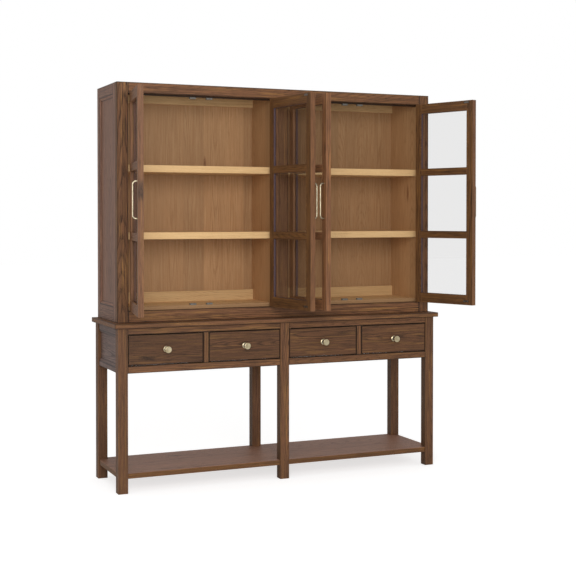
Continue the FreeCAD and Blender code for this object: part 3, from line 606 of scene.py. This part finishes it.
# Lacquered, on the knobs' heads and feet: a pale gold that catches the light.
SATIN_BRASS = Brushed("satin_brass", bright="D6C8A6", dull="BCAA84")
# The same handled more, on the pulls: a little greyer.
PULL_BRASS = Brushed("brushed_brass", bright="BFB399", dull="A6987B")
# Painted shade in the knobs' waists: a grey brown that parts the head from the foot.
WAIST_SHADE_BRASS = Brushed("aged_brass", bright="8E8778", dull="625C50", roughness=0.4)
# Chemically darkened hinges: small brown-black plates that don't draw the eye.
DARK_BRONZE = Brushed("dark_bronze", bright="4A3A2E", dull="33271F", roughness=0.38)
# Zinc on the catches' poles and strikes: a plain mid grey.
STEEL = Brushed("zinc_plated_steel", bright="8E8C87", dull="686662", roughness=0.36)
# Faintly grey panes that show the wood behind them.
CLEAR_GLASS = Glass("clear_float_glass", tint="F6F6F6")
# Warm grey cases on the golden floor.
CATCH_NYLON = Moulding("moulded_nylon", colour="6A655C")


# The bench: what is done to a mesh by hand


def choose(*pieces: Piece) -> None:
    """Selects only these pieces, or none, and makes the first one active.

    Args:
        pieces: The pieces to select.
    """
    for other in bpy.context.view_layer.objects:
        other.select_set(False)
    for piece in pieces:
        piece.select_set(True)
    if pieces:
        bpy.context.view_layer.objects.active = pieces[0]


@contextmanager
def edit_mode() -> Iterator[None]:
    """Opens the active piece in edit mode, all of it selected, and closes it afterwards."""
    bpy.ops.object.mode_set(mode="EDIT")
    bpy.ops.mesh.select_all(action="SELECT")
    yield
    bpy.ops.object.mode_set(mode="OBJECT")


def restore_faces() -> None:
    """Joins a CAD mesh's loose triangles, in edit mode, into the flat faces that they cut up."""
    bpy.ops.mesh.remove_doubles(threshold=MERGE)
    bpy.ops.mesh.dissolve_limited(angle_limit=FLAT, delimit={"NORMAL", "MATERIAL"})
    bpy.ops.mesh.faces_shade_flat()


def extrude(step: Vector | tuple) -> None:
    """Extrudes what is selected in edit mode by a step in metres."""
    bpy.ops.mesh.extrude_region_move(TRANSFORM_OT_translate={"value": step})


def ease_edges(piece: Piece, width: float, segments: int = 2) -> None:
    """Rounds the sharp edges of a piece.

    Args:
        piece: The object to change.
        width: How wide the rounding is, in metres.
        segments: How many strips it is made of.
    """
    choose(piece)
    bevel = piece.modifiers.new("bevel", "BEVEL")
    bevel.width = width
    bevel.segments = segments
    bevel.limit_method = "ANGLE"
    bevel.angle_limit = SHARP
    bpy.ops.object.modifier_apply(modifier=bevel.name)


def start_disc(radius: float, sides: int, place: Vector) -> Piece:
    """Lays a round face that looks along Y, to start a turned or bent piece from.

    Args:
        radius: Its radius in metres.
        sides: How many sides it has.
        place: Its middle.

    Returns:
        The face, as the active object.
    """
    choose()
    bpy.ops.mesh.primitive_circle_add(
        vertices=sides, radius=radius, fill_type="NGON", location=place, rotation=(QUARTER, 0, 0)
    )
    bpy.ops.object.transform_apply(location=True, rotation=True, scale=True)
    return bpy.context.object


def close_and_smooth(degrees: float) -> None:
    """Merges doubles, turns normals outwards and smooths the gentle edges of the active piece.

    Args:
        degrees: The sharpest edge that is smoothed.
    """
    with edit_mode():
        bpy.ops.mesh.remove_doubles(threshold=MERGE)
        bpy.ops.mesh.normals_make_consistent(inside=False)
    bpy.ops.object.shade_smooth_by_angle(angle=math.radians(degrees))


def copied(source: Piece, name: str) -> Piece:
    """Copies an object under a new name, with a mesh of its own.

    Args:
        source: The object to copy.
        name: The copy's name.

    Returns:
        The copy.
    """
    twin = bpy.data.objects.new(name, source.data.copy())
    bpy.context.scene.collection.objects.link(twin)
    return twin


def finish_piece(
    piece: Piece,
    name: str,
    body: str,
    slot: str,
    node: str,
    *materials: Material,
    numbers: np.ndarray | None = None,
) -> None:
    """Names and dresses a piece and hangs it on its body.

    Args:
        piece: The finished object, with its place in its mesh.
        name: The name to give it.
        body: The CAD body that it moves with.
        slot: The record's material slot; not used.
        node: The CAD node that it stands for.
        materials: Its finishes.
        numbers: Which of the finishes each face has; the first one, if not given.
    """
    piece.name = piece.data.name = name
    piece.data.materials.clear()
    for material in materials:
        piece.data.materials.append(material)
    if numbers is not None:
        piece.data.polygons.foreach_set("material_index", numbers)
    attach(piece, body)
    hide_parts(node)
    LOG.info("%s rides on %s and stands for %s", name, body, node)


def rows(items: bpy.types.bpy_prop_collection, name: str) -> np.ndarray:
    """Lists a vector property of a mesh's vertices or faces.

    Args:
        items: The vertices or faces.
        name: The property.

    Returns:
        A row of three numbers for each item.
    """
    flat = np.empty(len(items) * 3)
    items.foreach_get(name, flat)
    return flat.reshape(-1, 3)


def board_numbers(mesh: bpy.types.Mesh) -> np.ndarray:
    """Tells which closed board each triangle belongs to.

    The triangles come one board after another. Each edge of a closed board is passed once each way, so
    a sum that takes opposite signs for the two ways comes back to nought only where a board is complete.

    Args:
        mesh: A CAD node's mesh of loose triangles.

    Returns:
        The number of its board for each triangle.
    """
    corners = np.round(rows(mesh.vertices, "co"), DECIMALS)
    spots, at = np.unique(corners, axis=0, return_inverse=True)
    triangles = at.ravel()[np.array([face.vertices[:] for face in mesh.polygons])]
    draw = np.random.default_rng(SEED)
    one, two = draw.random(len(spots)), draw.random(len(spots))
    start, finish = triangles, np.roll(triangles, -1, axis=1)
    signed = (one[start] * two[finish] - one[finish] * two[start]).sum(axis=1)
    complete = np.abs(np.cumsum(signed)) < ROUNDING
    return np.concatenate([[0], np.cumsum(complete)[:-1]])


class Side(Enum):
    """Which faces of a board have a finish of their own."""

    OPENING = "the faces that line the opening of a frame"
    INNER = "the face that looks inwards when the door is shut"
    RIM = "the narrow faces all round"
    HIGH = "all faces of the boards above the shoulder"
    LEFT = "all faces of the boards at the left end"
    BAY = "the faces that look sideways into a bay"


@dataclass(frozen=True)
class Timber:
    """One CAD node of boards: its finish, how the boards are cut, and some faces with another finish.

    The shade is how much lighter the boards are than their finish, partly painted light and shade set part by
    part, and the tone how much each differs.
    The stave is the width of the strips that a board is glued up from, or nought, and the turn is how
    far the boards are turned about Z from standing square.
    """

    node: str
    body: str
    finish: Oak = BROWN_OAK
    slot: str = "dark_oak"
    shade: float = 0.0
    upright: bool = False
    stave: float = 0.0
    ease: float = 0.0008
    tone: float = 0.07
    turn: float = 0.0
    faced: tuple[Side, Oak | Paint] | None = None

    def mark(self, board: Piece, chance: Random) -> None:
        """Writes each vertex's place in its board, the board's looks, and the faces of another finish.

        Args:
            board: One closed board.
            chance: The run of random numbers, drawn from in order.
        """
        mesh = board.data
        square = np.array(Matrix.Rotation(-self.turn, 3, "Z")).T
        points = rows(mesh.vertices, "co") @ square
        low, high = points.min(axis=0), points.max(axis=0)
        middle = (low + high) / 2
        # The axes along, across and through the board, once it is turned back to stand square.
        ranked = list(np.argsort(low - high))
        along = 2 if self.upright else ranked[0]
        axes = [along] + [axis for axis in ranked if axis != along]
        stave = self.stave or ONE_STAVE
        drift = stave * chance.uniform(-STAVE_DRIFT, STAVE_DRIFT) if self.stave else 0.0
        tone = self.shade + chance.uniform(-self.tone, self.tone)
        same = {
            "board_half": ((high - low) / 2)[axes],
            "board_drift": np.array([0, drift, 0]),
            "board_look": np.array([tone, stave, chance.uniform(0, SEEDS)]),
        }
        values = {name: np.tile(vector, (len(points), 1)) for name, vector in same.items()}
        values["board_point"] = (points - middle)[:, axes] + same["board_drift"]
        for name, vectors in values.items():
            written = mesh.attributes.new(name, "FLOAT_VECTOR", "POINT")
            written.data.foreach_set("vector", vectors.astype(np.float32).ravel())
        inward = middle - rows(mesh.polygons, "center") @ square
        facing = rows(mesh.polygons, "normal") @ square
        upright, sideways = abs(facing[:, 1]) < ALONG, abs(facing[:, 0]) > ALONG
        chosen = {
            None: np.zeros(len(facing)),
            Side.OPENING: upright & ((inward * facing)[:, [0, 2]].sum(axis=1) > 0),
            Side.INNER: facing[:, 1] > ALONG,
            Side.RIM: abs(facing[:, axes[2]]) < ALONG,
            Side.HIGH: np.full(len(facing), middle[2] > SHOULDER),
            Side.LEFT: np.full(len(facing), middle[0] < -LEFT_END),
            Side.BAY: sideways & (facing[:, 0] * middle[0] < MIDDLE),
        }[self.faced and self.faced[0]]
        second = mesh.attributes.new("second_finish", "INT", "FACE")
        second.data.foreach_set("value", chosen.astype(np.int32))

    def cut(self, frame: dict) -> None:
        """Copies the node's boards, eases their edges, marks and finishes them as one piece.
        """
        blank = copied(frame["nodes"][self.node], f"{self.node}_boards")
        numbers = board_numbers(blank.data)
        blank.data.materials.clear()
        for _ in range(int(numbers.max()) + 1):
            blank.data.materials.append(None)
        blank.data.polygons.foreach_set("material_index", numbers)
        choose(blank)
        bpy.ops.mesh.customdata_custom_splitnormals_clear()
        with edit_mode():
            bpy.ops.mesh.separate(type="MATERIAL")
        boards = sorted(bpy.context.selected_objects, key=lambda board: board.name)
        choose(*boards)
        with edit_mode():
            restore_faces()
        chance = Random(f"{SEED} {self.node}")
        for board in boards:
            ease_edges(board, self.ease)
            self.mark(board, chance)
        choose(*boards)
        if len(boards) > 1:
            bpy.ops.object.join()
        piece = bpy.context.view_layer.objects.active
        second = np.zeros(len(piece.data.polygons), np.int32)
        piece.data.attributes["second_finish"].data.foreach_get("value", second)
        finishes = [self.finish.material()]
        if self.faced:
            finishes.append(self.faced[1].material())
        name = f"{self.node}_boards"
        finish_piece(piece, name, self.body, self.slot, self.node, *finishes, numbers=second)


# Fittings


@dataclass
class TurnedKnob:
    """A turned brass knob: a broad foot, a coved waist and a flat head with a rounded rim.

    Each cut is how far it lies in front of the drawer and its radius, both in millimetres; the waist is
    how far in front of the drawer it starts and ends.
    """

    sides: int = 56
    smooth: float = 35
    waist: Pair = (5.0, 34.0)
    cuts: tuple[Pair, ...] = (
        (0.0, 16.0), (0.6, 16.5), (3.4, 16.5), (4.0, 16.0), (5.2, 12.6), (7.0, 9.6), (9.5, 7.7),
        (14.0, 7.0), (23.0, 7.0), (27.5, 8.0), (30.5, 10.6), (34.0, 13.4), (36.4, 17.2), (37.2, 18.2),
        (41.6, 18.2), (43.2, 17.6), (44.0, 15.6), (43.6, 13.8), (43.4, 3.0),
    )

    def turn(self, foot: Vector) -> Piece:
        """Turns a knob on a foot point of a drawer front.

        Args:
            foot: The middle of the knob's foot.

        Returns:
            The knob, closed and smooth.
        """
        depth, radius = self.cuts[0]
        knob = start_disc(radius * MM, self.sides, foot)
        with edit_mode():
            for next_depth, next_radius in self.cuts[1:]:
                extrude((0, (depth - next_depth) * MM, 0))
                grow = next_radius / radius
                middle = foot + Vector((0, -next_depth * MM, 0))
                bpy.ops.transform.resize(value=(grow, 1, grow), center_override=middle)
                depth, radius = next_depth, next_radius
        close_and_smooth(self.smooth)
        return knob


@dataclass
class BarPull:
    """A round bar bent into a D: two short legs and a long grip. Lengths are in millimetres."""

    length: float = 198.0
    reach: float = 28.0
    radius: float = 4.5
    bend: float = 17.0
    sides: int = 28
    bend_steps: int = 10
    smooth: float = 35

    def bend_bar(self, foot: Vector) -> Piece:
        """Bends a bar that stands out of a door face towards -Y.

        Args:
            foot: The point of the face between the two legs.

        Returns:
            The pull, closed and smooth.
        """
        rise = (self.length / 2 - self.radius) * MM
        out = (self.reach - self.radius) * MM
        bend = self.bend * MM
        leg = Vector((0, bend - out, 0))
        corner = {"steps": self.bend_steps, "angle": QUARTER, "axis": (1, 0, 0)}
        pull = start_disc(self.radius * MM, self.sides, foot - Vector((0, 0, rise)))
        with edit_mode():
            extrude(leg)
            bpy.ops.mesh.spin(center=foot + leg + Vector((0, 0, bend - rise)), **corner)
            extrude((0, 0, 2 * (rise - bend)))
            bpy.ops.mesh.spin(center=foot + leg + Vector((0, 0, rise - bend)), **corner)
            extrude(-leg)
        close_and_smooth(self.smooth)
        return pull


@dataclass
class MagnetCatch:
    """A small magnetic catch: a nylon case with rounded edges and sunk steel poles, in millimetres."""

    case_inset: float = 2.2
    pole_sunk: float = 0.6
    round_over: float = 1.0
    round_steps: int = 3
    smooth: float = 30

    def case(self, low: Vector, high: Vector) -> Piece:
        """Makes a case that fills a box, its front hollowed round the poles.

        Args:
            low: The box's lowest corner.
            high: The box's highest corner.

        Returns:
            The case.
        """
        choose()
        bpy.ops.mesh.primitive_cube_add(size=1, location=(low + high) / 2)
        case = bpy.context.object
        case.scale = high - low
        bpy.ops.object.transform_apply(location=True, rotation=True, scale=True)
        ease_edges(case, self.round_over * MM, self.round_steps)
        with edit_mode():
            bpy.ops.mesh.select_all(action="DESELECT")
            bpy.ops.mesh.select_mode(type="FACE")
        front = max(case.data.polygons, key=lambda face: -face.normal.y * face.area)
        front.select = True
        bpy.ops.object.mode_set(mode="EDIT")
        bpy.ops.mesh.inset(thickness=self.case_inset * MM)
        extrude((0, self.pole_sunk * MM, 0))
        close_and_smooth(self.smooth)
        return case


# Sub-assemblies


@dataclass
class Assembly:
    frame: dict

    @property
    def name(self) -> str:
        """The CAD body that it belongs to."""
        return "cabinet"

    def cut(self, node: str, finish: Oak = BROWN_OAK, **how: object) -> None:
        """Cuts the boards of a node out of a finish, in the ways that Timber lists."""
        Timber(node, self.name, finish, **how).cut(self.frame)


@dataclass
class BaseCabinet(Assembly):
    """The base: six legs, a low shelf, apron rails, sides, back boards, runners and the countertop."""

    stave: float = 0.115
    leg_shade: float = -0.26
    # The back legs are darkened as painted shade, and the low shelf's top lightened as painted light.
    back_leg_shade: float = -0.4
    apron_shade: float = -0.13
    apron_tone: float = 0.03
    counter_shade: float = -0.03
    shelf_shade: float = 0.22
    side_shade: float = -0.15

    def build(self) -> None:
        """Cuts and finishes all the boards of the base."""
        for row, shade in (("front", self.leg_shade), ("back", self.back_leg_shade)):
            for place in ("left", "centre", "right"):
                # Painted shade on the legs' faces that look into the bays.
                self.cut(f"leg_{row}_{place}", shade=shade, faced=(Side.BAY, SHADED_BROWN_OAK))
        # The rails' and dividers' rims, inside the drawer gaps, carry near-black painted shade.
        rail = {"shade": self.apron_shade, "tone": self.apron_tone, "faced": (Side.RIM, GAP_SHADE_RIM_OAK)}
        for node in ("apron_rails", "drawer_dividers"):
            self.cut(node, SHADED_EDGE_OAK, **rail)
        # Painted sheen, greyer, on the base's sides.
        for node in ("base_side_left", "base_side_right"):
            self.cut(node, SHEEN_COOL_OAK, shade=self.side_shade)
        # The countertop's edges carry painted shade lines above and below its front.
        self.cut("countertop", SHADED_EDGE_OAK, shade=self.counter_shade, stave=self.stave)
        # The low shelf: painted sheen on its top and painted shade on its rim.
        shelf = {"shade": self.shelf_shade, "stave": self.stave, "faced": (Side.RIM, SHADED_BROWN_OAK)}
        self.cut("low_shelf", SHEEN_TOP_OAK, **shelf)
        self.cut("base_back_boards", stave=self.stave)
        self.cut("drawer_runners", GOLDEN_OAK, slot="natural_oak")


@dataclass
class Hutch(Assembly):
    """The hutch: face frame, sides, top, back, linings, floors, shelves, stops, catches and hinge plates."""

    back_stave: float = 0.125
    shelf_stave: float = 0.1
    face_tone: float = 0.03
    rail_shade: float = -0.02
    stop_shade: float = -0.05
    lining_shade: float = 0.12
    cleat_shade: float = -0.14
    catch: MagnetCatch = field(default_factory=MagnetCatch)

    def build(self) -> None:
        """Cuts the boards, makes the catches and dresses the hinge plates."""
        # Painted sheen on the hutch's sides.
        for node in ("hutch_side_left", "hutch_side_right"):
            self.cut(node, SHEEN_GREY_OAK)
        # The face frame's edges carry painted shade lines round each opening.
        self.cut("face_stiles", SHADED_EDGE_OAK, tone=self.face_tone, faced=(Side.LEFT, FIGURED_OAK))
        self.cut("face_rails", SHADED_EDGE_OAK, shade=self.rail_shade, tone=self.face_tone)
        # The upper stops carry the painted shadow of the top rail.
        self.cut("door_stops", AMBER_SHADE_OAK, shade=self.stop_shade, faced=(Side.HIGH, RAIL_SHADOW_OAK))
        self.cut("hutch_top", stave=self.back_stave)
        upright = {"slot": "natural_oak", "upright": True, "stave": self.back_stave}
        # The back and linings are the amber, which carries part of the shade inside the bays.
        self.cut("hutch_back", AMBER_SHADE_OAK, **upright)
        self.cut("linings", AMBER_SHADE_OAK, shade=self.lining_shade, faced=(Side.RIM, GOLDEN_OAK), **upright)
        for node in ("hutch_floors", "hutch_shelves"):
            self.cut(node, GOLDEN_OAK, slot="natural_oak", stave=self.shelf_stave)
        self.cut("back_cleats", GOLDEN_OAK, slot="natural_oak", shade=self.cleat_shade)
        self.frame["nodes"]["hinge_plates"].material_slots[0].material = DARK_BRONZE.material()
        self.fit_catches()

    def fit_catches(self) -> None:
        """Makes the first catch and copies it to the other seven places."""
        source = self.frame["nodes"]["door_catches"].data
        numbers = board_numbers(source)
        corners = rows(source.vertices, "co")[[face.vertices[:] for face in source.polygons]]
        solids = [corners[numbers == number].reshape(-1, 3) for number in range(numbers.max() + 1)]
        start = Vector(solids[0].min(axis=0))
        cases = [self.catch.case(start, Vector(solids[0].max(axis=0)))]
        for solid in solids[1:]:
            cases.append(copied(cases[0], cases[0].name))
            cases[-1].data.transform(Matrix.Translation(Vector(solid.min(axis=0)) - start))
        choose(*cases)
        bpy.ops.object.join()
        piece = bpy.context.view_layer.objects.active
        sunk = rows(piece.data.polygons, "center")[:, 1] - start.y > self.catch.pole_sunk * MM / 2
        outward = rows(piece.data.polygons, "normal")[:, 1] < -SQUARE_ON
        poles = (sunk & outward).astype(np.int32)
        names = ("catch_cases", self.name, "catch_grey", "door_catches")
        finish_piece(piece, *names, CATCH_NYLON.material(), STEEL.material(), numbers=poles)


class Hand(Enum):
    """On which side a door is hung, as the way from its pin to its pull along X."""

    LEFT = 1
    RIGHT = -1


@dataclass
class GlazedDoor(Assembly):
    """A glazed door on pins: its boards, beads, panes, leaves and strikes, and its bar pull.

    Lengths are in millimetres. The first solids of its fittings are leaves and the others are strikes.
    """

    number: int
    hand: Hand
    pull: BarPull = field(default_factory=BarPull)
    pull_from_pin: float = 403.75
    face_from_pin: float = 5.0
    pull_height: float = 593.0
    frame_shade: float = 0.03
    bead_ease: float = 0.4
    fitting_ease: float = 0.3
    leaves: int = 2

    @property
    def name(self) -> str:
        """The door's body."""
        return f"door_{self.number}"

    def build(self) -> None:
        """Cuts the boards and hangs the pull, with the door open as it stands at rest."""
        joint = next(j for j in self.frame["joints"] if j["child"] == self.name)
        turn = -math.radians(joint["range_deg"][0]) * joint["axis"][2]
        pin = Vector(joint["pos_m"])
        opened = Matrix.Translation(pin) @ Matrix.Rotation(turn, 4, "Z") @ Matrix.Translation(-pin)
        # Painted shade on each door's inner face.
        inner, opening = (Side.INNER, SHADED_BROWN_OAK), (Side.OPENING, REVEAL_SHADE_PAINT)
        self.cut(f"{self.name}_frame", FINE_OAK, shade=self.frame_shade, turn=turn, faced=inner)
        # The beads are the shadowed brown, with painted shade in the reveal round the pane.
        beads = {"slot": "graphite_bead", "turn": turn, "ease": self.bead_ease * MM, "faced": opening}
        self.cut(f"{self.name}_beads", SHADED_BROWN_OAK, **beads)
        self.frame["nodes"][f"{self.name}_glass"].material_slots[0].material = CLEAR_GLASS.material()
        self.dress_fittings()
        reach = self.hand.value * self.pull_from_pin
        pull = self.pull.bend_bar(pin + Vector((reach, self.face_from_pin, self.pull_height)) * MM)
        pull.data.transform(opened)
        names = (f"{self.name}_bar", self.name, "satin_brass", f"{self.name}_pull")
        finish_piece(pull, *names, PULL_BRASS.material())

    def dress_fittings(self) -> None:
        """Breaks the edges of the leaves and the strikes, and dresses them in bronze and in steel."""
        node = f"{self.name}_hardware"
        piece = copied(self.frame["nodes"][node], node)
        strikes = (board_numbers(piece.data) >= self.leaves).astype(np.int32)
        choose(piece)
        bpy.ops.mesh.customdata_custom_splitnormals_clear()
        names = (f"{self.name}_fittings", self.name, "dark_bronze", node)
        finish_piece(piece, *names, DARK_BRONZE.material(), STEEL.material(), numbers=strikes)
        with edit_mode():
            restore_faces()
        ease_edges(piece, self.fitting_ease * MM)


@dataclass
class Drawer(Assembly):
    """A drawer: a flat front, a box of lighter oak and a turned knob."""

    number: int
    shade: float
    tone: float = 0.04
    knob: TurnedKnob = field(default_factory=TurnedKnob)

    @property
    def name(self) -> str:
        """The drawer's body."""
        return f"drawer_{self.number}"

    def build(self) -> None:
        """Cuts the front and the box and turns the knob."""
        # The front's rims, inside the gap round it, carry near-black painted shade.
        look = {"shade": self.shade, "tone": self.tone, "faced": (Side.RIM, GAP_SHADE_RIM_OAK)}
        self.cut(f"{self.name}_front", SHADED_EDGE_OAK, **look)
        self.cut(f"{self.name}_box", GOLDEN_OAK, slot="natural_oak")
        low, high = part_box(f"{self.name}_knob")
        foot = Vector(((low.x + high.x) / 2, high.y, (low.z + high.z) / 2))
        knob = self.knob.turn(foot)
        reach = (foot.y - rows(knob.data.polygons, "center")[:, 1]) / MM
        # The waist gets the painted shade.
        start, end = self.knob.waist
        waist = ((reach > start) & (reach < end)).astype(np.int32)
        names = (f"{self.name}_turned_knob", self.name, "satin_brass", f"{self.name}_knob")
        finish_piece(knob, *names, SATIN_BRASS.material(), WAIST_SHADE_BRASS.material(), numbers=waist)


@dataclass
class Studio:
    """A white room: a pale floor, an even sky, one broad soft lamp and the camera.

    Lengths are in metres, the lens and the sensor in millimetres, angles in degrees and power in watts.
    """

    lens: float = 73.57
    sensor: float = 36
    eye: Triple = (-2.6410, -6.12827, 1.48709)
    gaze: Triple = (88.949, 0.0, -23.556)
    rise: float = -0.0867
    floor_size: float = 60.0
    sky: float = 0.58
    floor_shade: float = 0.6
    floor_glow: float = 0.665
    floor_bounce: float = 0.18
    lamp_power: float = 150.0
    lamp_size: float = 3.0
    lamp_place: Triple = (-2.0, -5.0, 2.4)
    lamp_aim: Triple = (0.0, 0.2, 1.1)

    def build(self) -> None:
        """Sets up the light, the floor and the camera."""
        scene = bpy.context.scene
        scene.view_settings.view_transform = "Standard"
        scene.world = bpy.data.worlds.new("white_room")
        scene.world.use_nodes = True
        air = scene.world.node_tree
        air.nodes.clear()
        strength = self.seen(air, 1.0, self.sky)
        glow = add(air, "Background", {"Color": (1, 1, 1, 1), "Strength": strength})
        add(air, "OutputWorld", {"Surface": glow})
        self.lay_floor()
        self.hang_lamp()
        camera = bpy.data.objects.new("camera", bpy.data.cameras.new("camera"))
        scene.collection.objects.link(camera)
        camera.data.lens = self.lens
        camera.data.sensor_width = self.sensor
        camera.data.shift_y = self.rise
        camera.location = self.eye
        camera.rotation_euler = [math.radians(angle) for angle in self.gaze]
        scene.camera = camera

    def seen(self, tree: Tree, bright: float, dim: float) -> Socket:
        """Makes a strength that is bright to the camera and dim to the light that falls on the dresser."""
        direct = add(tree, "LightPath", out="Is Camera Ray")
        return add(tree, "MapRange", {"Value": direct, "To Min": dim, "To Max": bright})

    def lay_floor(self) -> None:
        """Lays a floor of pale matt paint that glows a little, so that its shadows stay light."""
        choose()
        bpy.ops.mesh.primitive_plane_add(size=self.floor_size)
        floor = bpy.context.object
        floor.name = "floor"
        material, tree = new_material("pale_floor")
        paint = add(tree, "BsdfDiffuse", {"Color": (*[self.floor_shade] * 3, 1)})
        strength = self.seen(tree, self.floor_glow, self.floor_bounce)
        glow = add(tree, "Emission", {"Color": (1, 1, 1, 1), "Strength": strength})
        add(tree, "OutputMaterial", {"Surface": add(tree, "AddShader", (paint, glow))})
        floor.data.materials.append(material)

    def hang_lamp(self) -> None:
        """Hangs the broad lamp, aimed at the middle of the dresser."""
        data = bpy.data.lights.new("broad_lamp", "AREA")
        data.shape = "DISK"
        data.size = self.lamp_size
        data.energy = self.lamp_power
        lamp = bpy.data.objects.new("broad_lamp", data)
        lamp.location = self.lamp_place
        aim = Vector(self.lamp_aim) - lamp.location
        lamp.rotation_euler = aim.to_track_quat("-Z", "Y").to_euler()
        lamp.visible_camera = False
        bpy.context.scene.collection.objects.link(lamp)


# The doors from left to right, and how much lighter each drawer's front is than its finish: painted shade,
# deepest on the left, where the lamp falls strongest.
HANDS = (Hand.LEFT, Hand.RIGHT, Hand.LEFT, Hand.RIGHT)
DRAWER_SHADES = (-0.43, -0.33, -0.34, -0.28)


def main(frame: dict) -> None:
    """Builds the dresser's sub-assemblies in order, and the studio.
    """
    parts: list[BaseCabinet | Hutch | GlazedDoor | Drawer] = [BaseCabinet(frame), Hutch(frame)]
    parts += [GlazedDoor(frame, number, hand) for number, hand in enumerate(HANDS, 1)]
    parts += [Drawer(frame, number, shade) for number, shade in enumerate(DRAWER_SHADES, 1)]
    for part in parts:
        part.build()
        LOG.info("%s is done", type(part).__name__)
    Studio().build()


if __name__ == "__main__":
    logging.basicConfig(level=logging.INFO)
    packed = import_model()
    main(packed)
